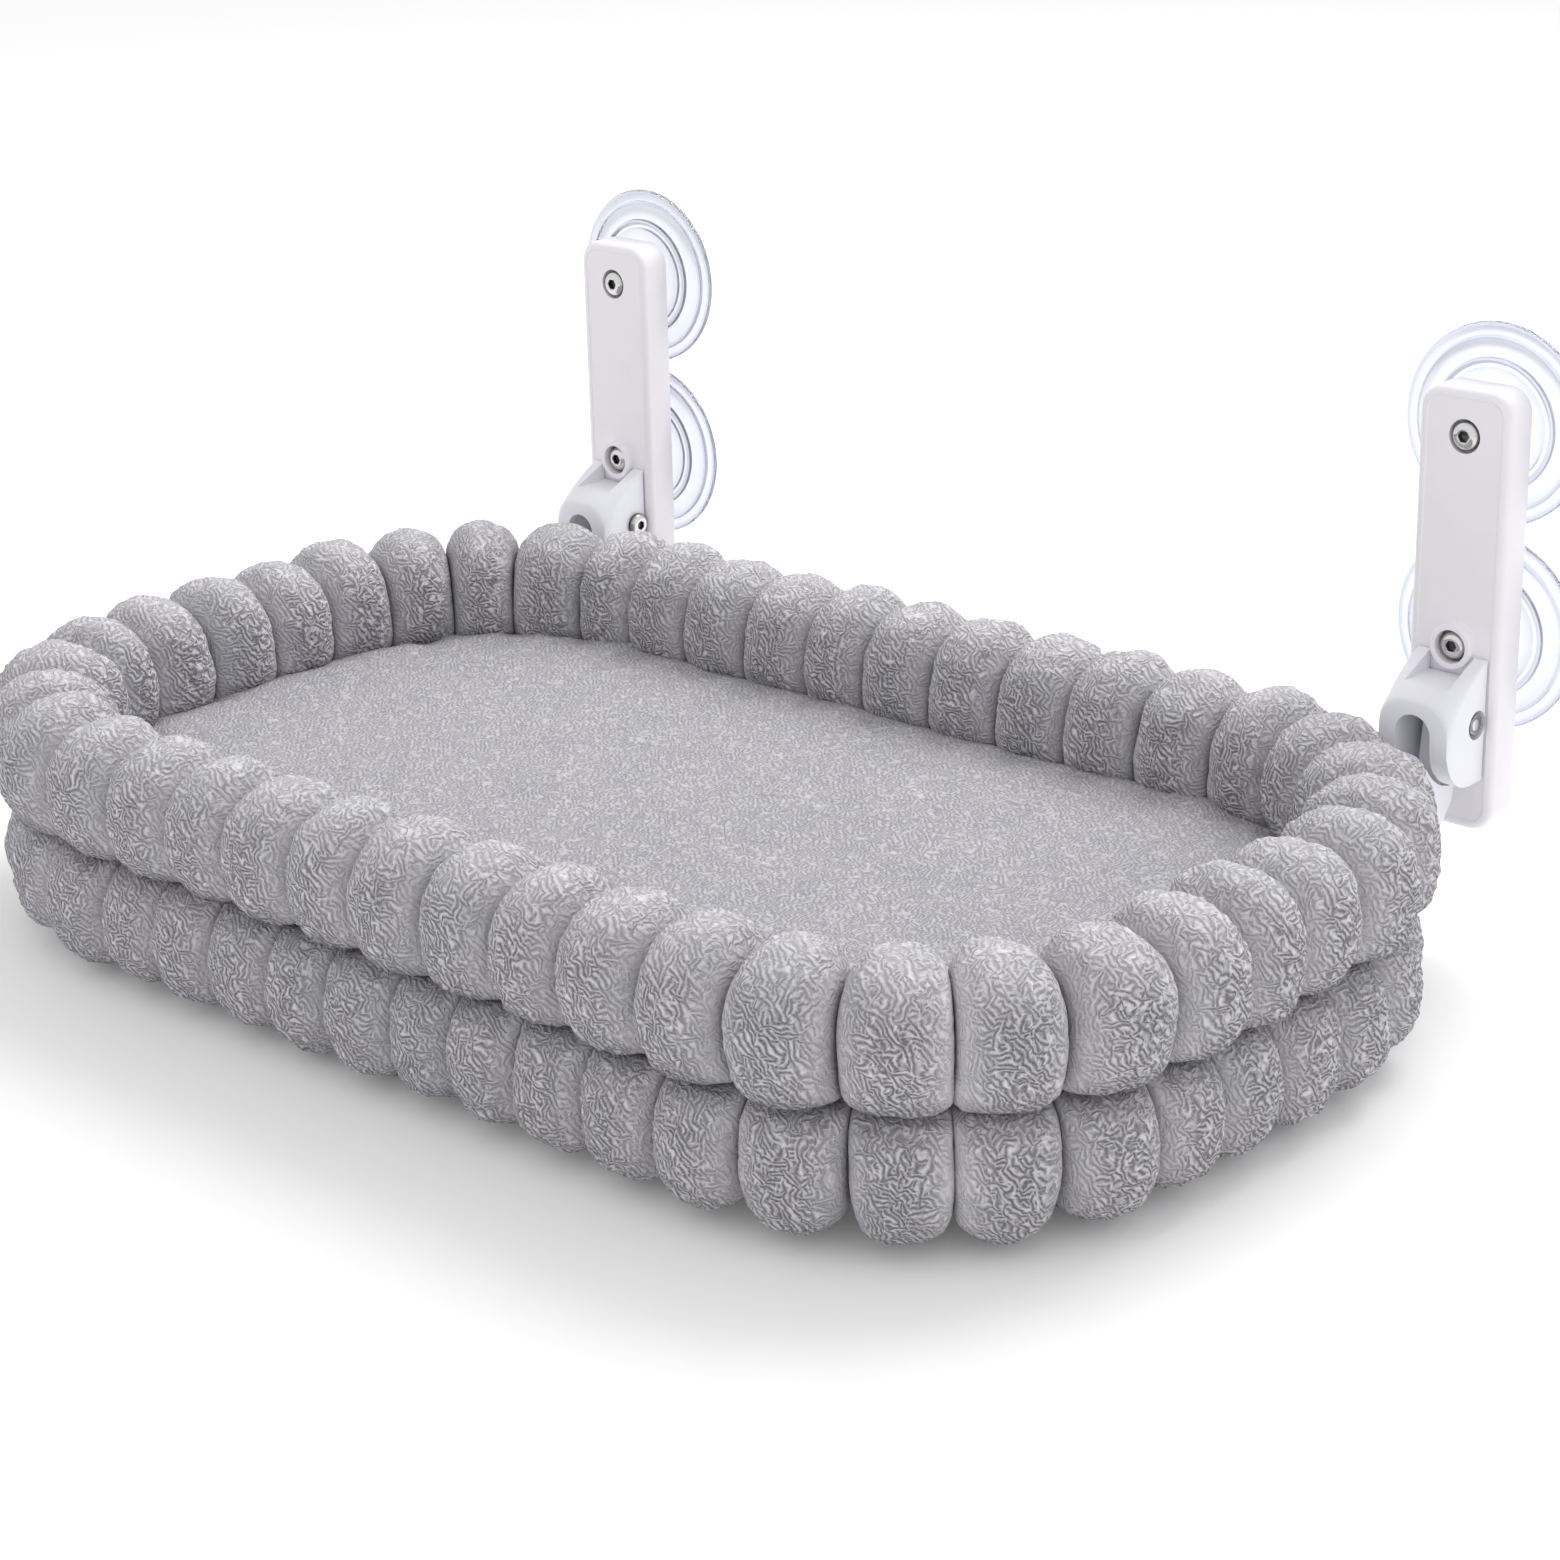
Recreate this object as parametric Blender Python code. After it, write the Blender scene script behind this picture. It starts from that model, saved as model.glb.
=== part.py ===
"""Cat window perch: two glass-mounted brackets and a folding bed with plush bolster rolls.

Metres, +Z up. The glass is the plane Y = 0 and the room lies towards -Y. The origin is on the
glass, midway between the brackets, at the height of the hinge axis, which runs along X.
"""

from math import cos, pi, radians, sin, sqrt

import bmesh
import bpy
from mathutils import Vector

# Fits that every piece shares
GAP = 0.0003
CUT_OVERRUN = 0.004
CLOTH_THICKNESS = 0.0012

# Brackets
BRACKET_TO_BED_END = 0.0441
BAR_WIDTH = 0.041
BAR_HEIGHT = 0.180
BAR_THICKNESS = 0.016
BAR_CORNER = 0.010
BAR_EDGE = 0.003
BAR_FACE_BORDER = 0.0036
BAR_FACE_INSET = 0.0004
BAR_SKIN = 0.0035
BAR_WALL = 0.003
BAR_RIB = 0.0025
POCKET_CORNER_SHARE = 0.4
BAR_TO_GLASS = 0.0097
SCREW_SPACING = 0.085
LOWER_SCREW_HEIGHT = 0.0285
UPPER_SCREW_TO_TOP = 0.019
RECESS_RADIUS = 0.0069
RECESS_DEPTH = 0.004
COLLAR_WALL = 0.0025
COLLAR_HEIGHT = 0.003
NECK_SEAT_DEPTH = 0.008

# Suction cups and their screws
CUP_RADIUS = 0.0409
CUP_RIM_WIDTH = 0.003
CUP_RIM_THICKNESS = 0.0015
CUP_STEP_RADIUS = 0.0352
CUP_STEP_THICKNESS = 0.0028
CUP_RIDGE_RADIUS = 0.0265
CUP_RIDGE_THICKNESS = 0.0048
CUP_DOME_THICKNESS = 0.0068
CUP_HOLLOW_DEPTH = 0.0036
NECK_RADIUS = 0.0107
NECK_TOP_LIP = 0.0003
HOLLOW_WIDTH_SHARE = 0.55
HOLLOW_RISE_SHARE = 0.75
SCREW_SHANK_RADIUS = 0.0023
SCREW_HEAD_RADIUS = 0.0053
SCREW_HEAD_HEIGHT = 0.0030
SCREW_LENGTH = 0.0100
SOCKET_RADIUS = 0.0019
SOCKET_DEPTH = 0.0018
SMALL_SOCKET_RADIUS = 0.0011
SMALL_SOCKET_DEPTH = 0.0010
HEAD_CROWN_SHARE = 0.55
HEAD_SHOULDER_SHARE = 0.86
HEAD_BELT_SHARE = 0.5
CUP_NUT_RADIUS = 0.0046
CUP_NUT_HEIGHT = 0.0035

# Hinge block
BLOCK_HALF_WIDTH = 0.016
BLOCK_DEPTH = 0.028
BLOCK_TOP = 0.0255
BLOCK_FRONT_TOP = 0.013
BLOCK_BOTTOM = 0.0245
BLOCK_CHIN_DEPTH = 0.018
BLOCK_CHIN_HEIGHT = 0.020
BLOCK_BROW_RADIUS = 0.012
BLOCK_EDGE = 0.0012
EAR_GAP_HALF_WIDTH = 0.010
EAR_FLOOR = 0.017
MOUTH_HALF_WIDTH = 0.008
MOUTH_SPRING = -0.001
MOUTH_WALL = 0.004
CHAMBER_TOP = 0.0072
HEEL_TOP = 0.013
BLOCK_SCREW_HEIGHT = 0.0125
BLOCK_SCREW_RADIUS = 0.0016
BLOCK_SCREW_HEAD_RADIUS = 0.0034
BLOCK_SCREW_HEAD_HEIGHT = 0.0022
BLOCK_SCREW_LENGTH = 0.011

# Pivot
PIVOT_TO_BAR = 0.006
PIVOT_SHANK_RADIUS = 0.0024
PIVOT_HEAD_RADIUS = 0.0056
PIVOT_HEAD_HEIGHT = 0.0028
PIVOT_NUT_RADIUS = 0.0046
PIVOT_NUT_HEIGHT = 0.0036
NUT_RECESS_RADIUS = 0.006
NUT_RECESS_DEPTH = 0.0045
BUSH_WALL = 0.001

# Arm
TONGUE_HALF_WIDTH = 0.005
TONGUE_HEAD_RADIUS = 0.0055
ARM_HALF_WIDTH = 0.0075
ARM_FLANGE = 0.0016
ARM_WEB = 0.0034
ARM_SHOULDER_RADIUS = 0.0264
ARM_DROP = 0.0475
ARM_RUN_HEIGHT = 0.010
ARM_TAIL_THICKNESS = 0.0036
SADDLE_TO_ELBOW = 0.0024
ARM_TAIL_START = 0.079
ARM_TAPER_START = 0.064
ARM_NOTCH_RUN = 0.0367
TONGUE_FOOT_DROP = 0.025
TONGUE_FOOT_BACK = 0.0002
TONGUE_FOOT_FRONT = 0.0088
SADDLE_LENGTH = 0.040
SADDLE_FOOT = 0.001
SHOULDER_FRONT_ANGLE = radians(58)
SHOULDER_BACK_ANGLE = radians(1.5)
ARM_BACK_SHARES = (
    (0.048, -0.693),
    (0.147, -0.823),
    (0.240, -0.918),
    (0.341, -0.964),
    (0.490, -0.990),
    (0.630, -1.0),
)
ARM_FRONT_SHARES = ((0.760, -0.790), (0.640, -0.700), (0.535, -0.550), (0.495, -0.420))
ARM_GROOVE_SHARES = (
    (0.110, -0.480),
    (0.140, -0.660),
    (0.225, -0.775),
    (0.310, -0.845),
    (0.420, -0.893),
    (0.630, -0.924),
)
ARM_SCREW_RADIUS = 0.0017
ARM_SCREW_HEAD_RADIUS = 0.0036
ARM_SCREW_HEAD_HEIGHT = 0.0020
ARM_SCREW_LENGTH = 0.0085
ARM_SCREW_SPACING = 0.024

# Bed
BED_HALF_LENGTH = 0.275
BED_HALF_WIDTH = 0.157
BED_CORNER_SHARE = 0.7006
BLOCK_TO_ROLL = -0.0045
CREASE_HEIGHT = -0.0425
UPPER_SEGMENTS = 43
LOWER_SEGMENTS = 45
UPPER_ROLL_HALF_WIDTH = 0.0284
UPPER_ROLL_HALF_HEIGHT = 0.0299
UPPER_ROLL_HEIGHT = -0.0174
LOWER_ROLL_HALF_WIDTH = 0.0262
LOWER_ROLL_HALF_HEIGHT = 0.0275
LOWER_ROLL_HEIGHT = -0.0678
LOWER_ROLL_INSET = 0.002
UPPER_ROLL_SIDES = 9
LOWER_ROLL_SIDES = 8
SEAM_DEPTH = 0.0040
ROLL_CLEARANCE = 0.0006
SEGMENT_RING_SHARES = (0.0, 0.24, 0.76)
PAD_TOP = -0.0345
PAD_EDGE_DROP = 0.0028
PAD_EDGE_INSET = 0.0240
PAD_CROWN_SHARES = ((0.5, 1.0), (3, 0.5), (12, 0.1), (24, 0.0))
SLING_EDGE_INSET = 0.0172

# Tube frame under the bed
FRAME_TO_ROLL = 0.0018
FRAME_BEND_SHARE = 0.5508
TUBE_RADIUS = 0.006
TUBE_WALL = 0.0012
ELBOW_WALL = 0.0012
ELBOW_SOCKET = 0.016

# Facets of round pieces
CUP_SIDES = 26
SMALL_SIDES = 12
TUBE_SIDES = 12
BORE_SIDES = 24
CORNER_STEPS = 6
EDGE_STEPS = 3
CHIN_STEPS = 7

# Heights and places that follow from the sizes above
BRACKET_X = BED_HALF_LENGTH - BRACKET_TO_BED_END
BED_CORNER = BED_HALF_WIDTH * BED_CORNER_SHARE
BAR_BACK_Y = -BAR_TO_GLASS
BAR_FRONT_Y = BAR_BACK_Y - BAR_THICKNESS
PIVOT_Y = BAR_FRONT_Y - PIVOT_TO_BAR
BLOCK_ALONG_CORNER = BED_CORNER - BRACKET_TO_BED_END - BLOCK_HALF_WIDTH
ROLL_ROUND_CORNER = BED_CORNER + UPPER_ROLL_HALF_WIDTH
ROLL_REAR_REACH = sqrt(ROLL_ROUND_CORNER**2 - BLOCK_ALONG_CORNER**2) - BED_CORNER
BED_TO_GLASS = BLOCK_DEPTH - PIVOT_Y + BLOCK_TO_ROLL + ROLL_REAR_REACH
BED_CENTRE_TO_GLASS = BED_HALF_WIDTH + BED_TO_GLASS
UPPER_SCREW_HEIGHT = LOWER_SCREW_HEIGHT + SCREW_SPACING
BAR_TOP = UPPER_SCREW_HEIGHT + UPPER_SCREW_TO_TOP
BAR_BOTTOM = BAR_TOP - BAR_HEIGHT
ELBOW_RADIUS = TUBE_RADIUS + GAP + ELBOW_WALL
TUBE_HEIGHT = -ARM_DROP - GAP - ELBOW_RADIUS
SKIRT_RADIUS = ELBOW_RADIUS + GAP + CLOTH_THICKNESS
ROLL_INNER_HALF_WIDTH = BED_HALF_WIDTH - LOWER_ROLL_INSET - LOWER_ROLL_HALF_WIDTH
FRAME_HALF_WIDTH = ROLL_INNER_HALF_WIDTH - FRAME_TO_ROLL - SKIRT_RADIUS
FRAME_BEND = FRAME_HALF_WIDTH * FRAME_BEND_SHARE
REAR_TUBE_REACH = BED_CENTRE_TO_GLASS + PIVOT_Y - FRAME_HALF_WIDTH
ARM_REACH = REAR_TUBE_REACH + FRAME_BEND + ELBOW_SOCKET + SADDLE_TO_ELBOW + SADDLE_LENGTH
ARM_TAIL_TOP = -ARM_DROP + ARM_TAIL_THICKNESS
SLING_BOTTOM = ARM_TAIL_TOP + GAP
PAD_BOTTOM = SLING_BOTTOM + CLOTH_THICKNESS + GAP
SLING_HEM = TUBE_HEIGHT - ELBOW_RADIUS
SADDLE_CENTRE = ARM_REACH - SADDLE_LENGTH / 2
BORE_RADIUS = PIVOT_SHANK_RADIUS + GAP
FACING_ROOM = (pi / 2, 0, 0)
FACING_GLASS = (-pi / 2, 0, 0)

WHITE_ABS = ("moulded_abs", (0.76, 0.74, 0.75), 0.45, 0.0)
GLOSS_ABS = ("gloss_abs", (0.80, 0.80, 0.86), 0.28, 0.0)
CLEAR_PVC = ("clear_pvc", (0.80, 0.83, 0.92), 0.12, 0.0)
CHROME = ("chrome_steel", (0.62, 0.62, 0.62), 0.18, 1.0)
ZINC = ("zinc_plated_steel", (0.52, 0.53, 0.55), 0.35, 1.0)
NYLON = ("nylon_bush", (0.70, 0.69, 0.66), 0.5, 0.0)
TUBE_STEEL = ("painted_steel_tube", (0.62, 0.62, 0.63), 0.4, 0.0)
SLING_CLOTH = ("woven_sling_cloth", (0.30, 0.30, 0.31), 0.85, 0.0)
PLUSH = ("grey_plush", (0.47, 0.46, 0.47), 0.95, 0.0)
PILE = ("short_pile_pad", (0.53, 0.52, 0.53), 0.95, 0.0)


# Helpers

def clear_scene():
    """Remove whatever objects the file opened with."""
    for old in list(bpy.data.objects):
        bpy.data.objects.remove(old, do_unlink=True)


def finish_of(finish):
    """One Principled material for each named finish of one piece."""
    name, colour, roughness, metallic = finish
    material = bpy.data.materials.new(name)
    material.use_nodes = True
    shader = material.node_tree.nodes["Principled BSDF"]
    shader.inputs["Base Color"].default_value = (*colour, 1.0)
    shader.inputs["Roughness"].default_value = roughness
    shader.inputs["Metallic"].default_value = metallic
    return material


def make_object(name, mesh_data, finish, parent=None, place=(0, 0, 0), turn=(0, 0, 0)):
    """Turn a bmesh into a named object, or into a hidden cutter where finish is None."""
    bmesh.ops.recalc_face_normals(mesh_data, faces=mesh_data.faces)
    mesh = bpy.data.meshes.new(name)
    mesh_data.to_mesh(mesh)
    mesh_data.free()
    piece = bpy.data.objects.new(name, mesh)
    bpy.context.scene.collection.objects.link(piece)
    piece.parent = parent
    piece.location = place
    piece.rotation_euler = turn
    if finish is None:
        piece.hide_render = True
        piece.display_type = "WIRE"
    else:
        mesh.materials.append(finish_of(finish))
        mesh.shade_smooth()
        mesh.set_sharp_from_angle(angle=radians(35))
    return piece


def boolean(target, tool, operation):
    """Add a Boolean modifier that cuts target with tool or joins tool to it."""
    modifier = target.modifiers.new(tool.name, "BOOLEAN")
    modifier.operation = operation
    modifier.solver = "EXACT"
    modifier.object = tool


def loft(rings):
    """Bridge equal rings of points and cap both ends: one closed body."""
    mesh_data = bmesh.new()
    rows = [[mesh_data.verts.new(point) for point in ring] for ring in rings]
    for near, far in zip(rows, rows[1:]):
        for i in range(len(near)):
            j = (i + 1) % len(near)
            mesh_data.faces.new((near[i], near[j], far[j], far[i]))
    mesh_data.faces.new(rows[0][::-1])
    mesh_data.faces.new(rows[-1])
    return mesh_data


def closed_loft(rings):
    """Bridge equal rings of points into a ring-shaped body that closes on itself."""
    mesh_data = bmesh.new()
    rows = [[mesh_data.verts.new(point) for point in ring] for ring in rings]
    for k, near in enumerate(rows):
        far = rows[(k + 1) % len(rows)]
        for i in range(len(near)):
            j = (i + 1) % len(near)
            mesh_data.faces.new((near[i], near[j], far[j], far[i]))
    return mesh_data


def turned(profile, sides):
    """Revolve (radius, height) points about Z. A point of radius 0 closes the body there."""
    mesh_data = bmesh.new()
    rows = []
    for radius, height in profile:
        if radius == 0:
            rows.append([mesh_data.verts.new((0, 0, height))])
            continue
        angles = (2 * pi * k / sides for k in range(sides))
        rows.append([mesh_data.verts.new((radius * cos(a), radius * sin(a), height)) for a in angles])
    pairs = list(zip(rows, rows[1:]))
    if len(rows[0]) > 1 and len(rows[-1]) > 1:
        pairs.append((rows[-1], rows[0]))
    for near, far in pairs:
        for i in range(sides):
            j = (i + 1) % sides
            corners = (near[i % len(near)], near[j % len(near)], far[j % len(far)], far[i % len(far)])
            mesh_data.faces.new(tuple(dict.fromkeys(corners)))
    return mesh_data


def prism(outline, low_x, high_x):
    """Extrude an outline of (forward, up) points, from the pivot, between two X places."""
    rings = [[Vector((x, -forward, up)) for forward, up in outline] for x in (low_x, high_x)]
    return loft(rings)


def block_box(low, high):
    """A box between two corners."""
    (x0, y0, z0), (x1, y1, z1) = low, high
    floor = [Vector((x, y, z0)) for x, y in ((x0, y0), (x1, y0), (x1, y1), (x0, y1))]
    return loft([floor, [point + Vector((0, 0, z1 - z0)) for point in floor]])


def rounded_outline(half_u, half_v, corner, steps):
    """Points of a rounded rectangle, anticlockwise from its right side."""
    points = []
    for quarter, (su, sv) in enumerate(((1, 1), (-1, 1), (-1, -1), (1, -1))):
        for k in range(steps + 1):
            angle = pi / 2 * (quarter + k / steps)
            u = su * (half_u - corner) + corner * cos(angle)
            v = sv * (half_v - corner) + corner * sin(angle)
            points.append((u, v))
    return points


def empty_at(name, place):
    """An empty that carries the pieces of one bracket or of the bed."""
    holder = bpy.data.objects.new(name, None)
    holder.location = place
    bpy.context.scene.collection.objects.link(holder)
    return holder


def shaped_ring(radius, height, six_sided, sides):
    """A ring about Z, round or drawn in to six flats between its corners."""
    points = []
    for k in range(sides):
        angle = 2 * pi * k / sides
        reach = radius
        if six_sided:
            reach = radius * cos(pi / 6) / cos(angle % (pi / 3) - pi / 6)
        points.append(Vector((reach * cos(angle), reach * sin(angle), height)))
    return points


def screw_body(shank, length, head, head_height, socket, socket_depth, countersunk=False):
    """A screw with its head's seat at height 0, its shank below and a six-sided socket on top."""
    rings = [
        (socket, head_height - socket_depth, True),
        (socket, head_height, True),
    ]
    if countersunk:
        rings += [(head, head_height, False), (shank, 0, False)]
    else:
        rings += [
            (head * HEAD_CROWN_SHARE, head_height, False),
            (head * HEAD_SHOULDER_SHARE, head_height * HEAD_SHOULDER_SHARE, False),
            (head, head_height * HEAD_BELT_SHARE, False),
            (head, 0, False),
            (shank, 0, False),
        ]
    rings.append((shank, -length, False))
    sides = SMALL_SIDES - SMALL_SIDES % 6
    return loft([shaped_ring(*ring, sides) for ring in rings])


def nut_body(corner, hole, height):
    """A hexagon nut with a round hole, standing on height 0."""
    sides = SMALL_SIDES - SMALL_SIDES % 6
    rings = [(corner, 0, True), (corner, height, True), (hole, height, False), (hole, 0, False)]
    return closed_loft([shaped_ring(*ring, sides) for ring in rings])


def rounded_rings(stations, centre_y):
    """Rounded rectangles (half length, half width, corner, height) laid over the bed's centre."""
    rings = []
    for half_u, half_v, corner, height in stations:
        outline = rounded_outline(half_u, half_v, corner, CORNER_STEPS)
        rings.append([Vector((u, centre_y + v, height)) for u, v in outline])
    return rings


# Bracket pieces, in a frame whose origin is on the hinge axis

def mounting_bar(prefix, holder):
    """The moulded bar: rounded front, sunk face, ribbed hollow back and a collar for one screw."""
    front = PIVOT_TO_BAR
    back = front + BAR_THICKNESS
    middle = (BAR_TOP + BAR_BOTTOM) / 2
    stations = [(BAR_FACE_INSET, back), (0, back - BAR_FACE_INSET)]
    for k in range(EDGE_STEPS + 1):
        angle = pi / 2 * k / EDGE_STEPS
        stations.append((BAR_EDGE * (1 - cos(angle)), front + BAR_EDGE * (1 - sin(angle))))
    stations.append((BAR_FACE_BORDER, front))
    stations.append((BAR_FACE_BORDER + BAR_FACE_INSET, front + BAR_FACE_INSET))
    rings = []
    for inset, y in stations:
        half_u, half_v = BAR_WIDTH / 2 - inset, BAR_HEIGHT / 2 - inset
        outline = rounded_outline(half_u, half_v, BAR_CORNER - inset, CORNER_STEPS)
        rings.append([Vector((u, y, middle + v)) for u, v in outline])
    bar = make_object(prefix + "mounting_bar", loft(rings), WHITE_ABS, holder)

    web_front = -(front + RECESS_DEPTH)
    web_back = -(back - NECK_SEAT_DEPTH)
    hole = SCREW_SHANK_RADIUS + GAP
    seat = NECK_RADIUS + GAP
    profile = [
        (0, -back - CUT_OVERRUN),
        (seat, -back - CUT_OVERRUN),
        (seat, web_back),
        (hole, web_back),
        (hole, web_front),
        (RECESS_RADIUS, web_front),
        (RECESS_RADIUS, -front + CUT_OVERRUN),
        (0, -front + CUT_OVERRUN),
    ]
    place = (0, 0, UPPER_SCREW_HEIGHT)
    body = turned(profile, BORE_SIDES)
    cutter = make_object(prefix + "upper_cut", body, None, holder, place, FACING_ROOM)
    boolean(bar, cutter, "DIFFERENCE")
    place = (0, 0, LOWER_SCREW_HEIGHT)
    body = turned(profile, BORE_SIDES)
    lower_cutter = make_object(prefix + "lower_cut", body, None, holder, place, FACING_ROOM)

    head = BLOCK_SCREW_HEAD_RADIUS + 2 * GAP
    hole = BLOCK_SCREW_RADIUS + GAP
    profile = [
        (0, -back - CUT_OVERRUN),
        (head, -back - CUT_OVERRUN),
        (head, -front - BAR_SKIN),
        (hole, -front - BAR_SKIN),
        (hole, -front + CUT_OVERRUN),
        (0, -front + CUT_OVERRUN),
    ]
    place = (0, 0, BLOCK_SCREW_HEIGHT)
    body = turned(profile, SMALL_SIDES)
    cutter = make_object(prefix + "block_screw_cut", body, None, holder, place, FACING_ROOM)
    boolean(bar, cutter, "DIFFERENCE")

    boss = NECK_RADIUS + GAP + BAR_WALL
    spans = [
        (LOWER_SCREW_HEIGHT + boss, UPPER_SCREW_HEIGHT - boss),
        (BAR_BOTTOM + BAR_WALL, BLOCK_SCREW_HEIGHT - head - BAR_WALL),
    ]
    for number, (low, high) in enumerate(spans):
        half = (high - low - BAR_RIB) / 4
        for level, centre in (("low", low + half), ("high", high - half)):
            rings = []
            for y in (front + BAR_SKIN, back + CUT_OVERRUN):
                corner = half * POCKET_CORNER_SHARE
                outline = rounded_outline(BAR_WIDTH / 2 - BAR_WALL, half, corner, 2)
                rings.append([Vector((u, y, centre + v)) for u, v in outline])
            cutter = make_object(f"{prefix}pocket_cut_{level}_{number}", loft(rings), None, holder)
            boolean(bar, cutter, "DIFFERENCE")

    collar_radius = RECESS_RADIUS + COLLAR_WALL
    collar_profile = [
        (0, COLLAR_HEIGHT),
        (collar_radius - BAR_FACE_INSET, COLLAR_HEIGHT),
        (collar_radius, COLLAR_HEIGHT - BAR_FACE_INSET),
        (collar_radius, -COLLAR_HEIGHT),
        (0, -COLLAR_HEIGHT),
    ]
    place = (0, front, LOWER_SCREW_HEIGHT)
    body = turned(collar_profile, BORE_SIDES)
    collar = make_object(prefix + "collar_join", body, None, holder, place, FACING_ROOM)
    boolean(bar, collar, "UNION")
    boolean(bar, lower_cutter, "DIFFERENCE")
    return bar


def suction_cup(name, holder, height):
    """A clear cup: stepped rim, ridge, dome and a neck with a seat for the nut."""
    neck_top = BAR_TO_GLASS + NECK_SEAT_DEPTH - GAP
    nut_seat = NECK_TOP_LIP + CUP_NUT_HEIGHT + GAP
    tip = BAR_TO_GLASS + BAR_THICKNESS - RECESS_DEPTH + GAP - SCREW_LENGTH
    hole = SCREW_SHANK_RADIUS + GAP
    pocket = CUP_NUT_RADIUS + GAP
    rim_face = CUP_RADIUS - CUP_RIM_WIDTH
    profile = [
        (0, CUP_HOLLOW_DEPTH),
        (rim_face * HOLLOW_WIDTH_SHARE, CUP_HOLLOW_DEPTH * HOLLOW_RISE_SHARE),
        (rim_face, 0),
        (CUP_RADIUS, 0),
        (CUP_RADIUS, CUP_RIM_THICKNESS),
        (CUP_STEP_RADIUS + CUP_RIM_THICKNESS, CUP_RIM_THICKNESS),
        (CUP_STEP_RADIUS, CUP_STEP_THICKNESS),
        (CUP_RIDGE_RADIUS + CUP_RIM_THICKNESS, CUP_STEP_THICKNESS + CUP_RIM_THICKNESS / 2),
        (CUP_RIDGE_RADIUS, CUP_RIDGE_THICKNESS),
        (CUP_RIDGE_RADIUS - CUP_RIM_THICKNESS, CUP_RIDGE_THICKNESS),
        (NECK_RADIUS + CUP_RIM_WIDTH, CUP_DOME_THICKNESS),
        (NECK_RADIUS, CUP_DOME_THICKNESS + CUP_RIM_THICKNESS),
        (NECK_RADIUS, neck_top),
        (pocket, neck_top),
        (pocket, neck_top - nut_seat),
        (hole, neck_top - nut_seat),
        (hole, tip - GAP),
        (0, tip - GAP),
    ]
    place = (0, -PIVOT_Y, height)
    return make_object(name, turned(profile, CUP_SIDES), CLEAR_PVC, holder, place, FACING_ROOM)


def cup_fixing(prefix, holder, height):
    """The cup's screw, with its head in the bar's recess, and the nut in the cup's neck."""
    body = screw_body(
        SCREW_SHANK_RADIUS, SCREW_LENGTH, SCREW_HEAD_RADIUS, SCREW_HEAD_HEIGHT, SOCKET_RADIUS, SOCKET_DEPTH
    )
    seat = PIVOT_TO_BAR + RECESS_DEPTH - GAP
    make_object(prefix + "cup_screw", body, CHROME, holder, (0, seat, height), FACING_ROOM)
    nut = nut_body(CUP_NUT_RADIUS, SCREW_SHANK_RADIUS + GAP, CUP_NUT_HEIGHT)
    neck_top = BAR_TO_GLASS + NECK_SEAT_DEPTH - GAP
    place = (0, -PIVOT_Y - neck_top + NECK_TOP_LIP + CUP_NUT_HEIGHT, height)
    make_object(prefix + "cup_nut", nut, ZINC, holder, place, FACING_ROOM)


def block_section(depth, inset):
    """Outline of the hinge block at a distance from the bar: sloping top with round brows."""
    share = depth / BLOCK_DEPTH
    top = BLOCK_TOP - (BLOCK_TOP - BLOCK_FRONT_TOP) * share - inset
    brow = BLOCK_BROW_RADIUS * share * share + BLOCK_EDGE / 2
    chin_start = BLOCK_DEPTH - BLOCK_CHIN_DEPTH
    run = max(0, depth - chin_start) / BLOCK_CHIN_DEPTH
    bottom = -BLOCK_BOTTOM + BLOCK_CHIN_HEIGHT * (1 - sqrt(max(0, 1 - run * run))) + inset
    half = BLOCK_HALF_WIDTH - inset
    outline = [(-half, bottom), (half, bottom)]
    for k in range(CORNER_STEPS + 1):
        angle = pi / 2 * k / CORNER_STEPS
        outline.append((half - brow + brow * cos(angle), top - brow + brow * sin(angle)))
    for k in range(CORNER_STEPS + 1):
        angle = pi / 2 * (1 + k / CORNER_STEPS)
        outline.append((-half + brow + brow * cos(angle), top - brow + brow * sin(angle)))
    return [Vector((x, PIVOT_TO_BAR - depth, z)) for x, z in outline]


def tongue_back(height):
    """How far the back of the arm's tongue lies forward of the pivot, at a height below it."""
    return -TONGUE_HEAD_RADIUS + (TONGUE_HEAD_RADIUS + TONGUE_FOOT_BACK) * -height / TONGUE_FOOT_DROP


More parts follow.
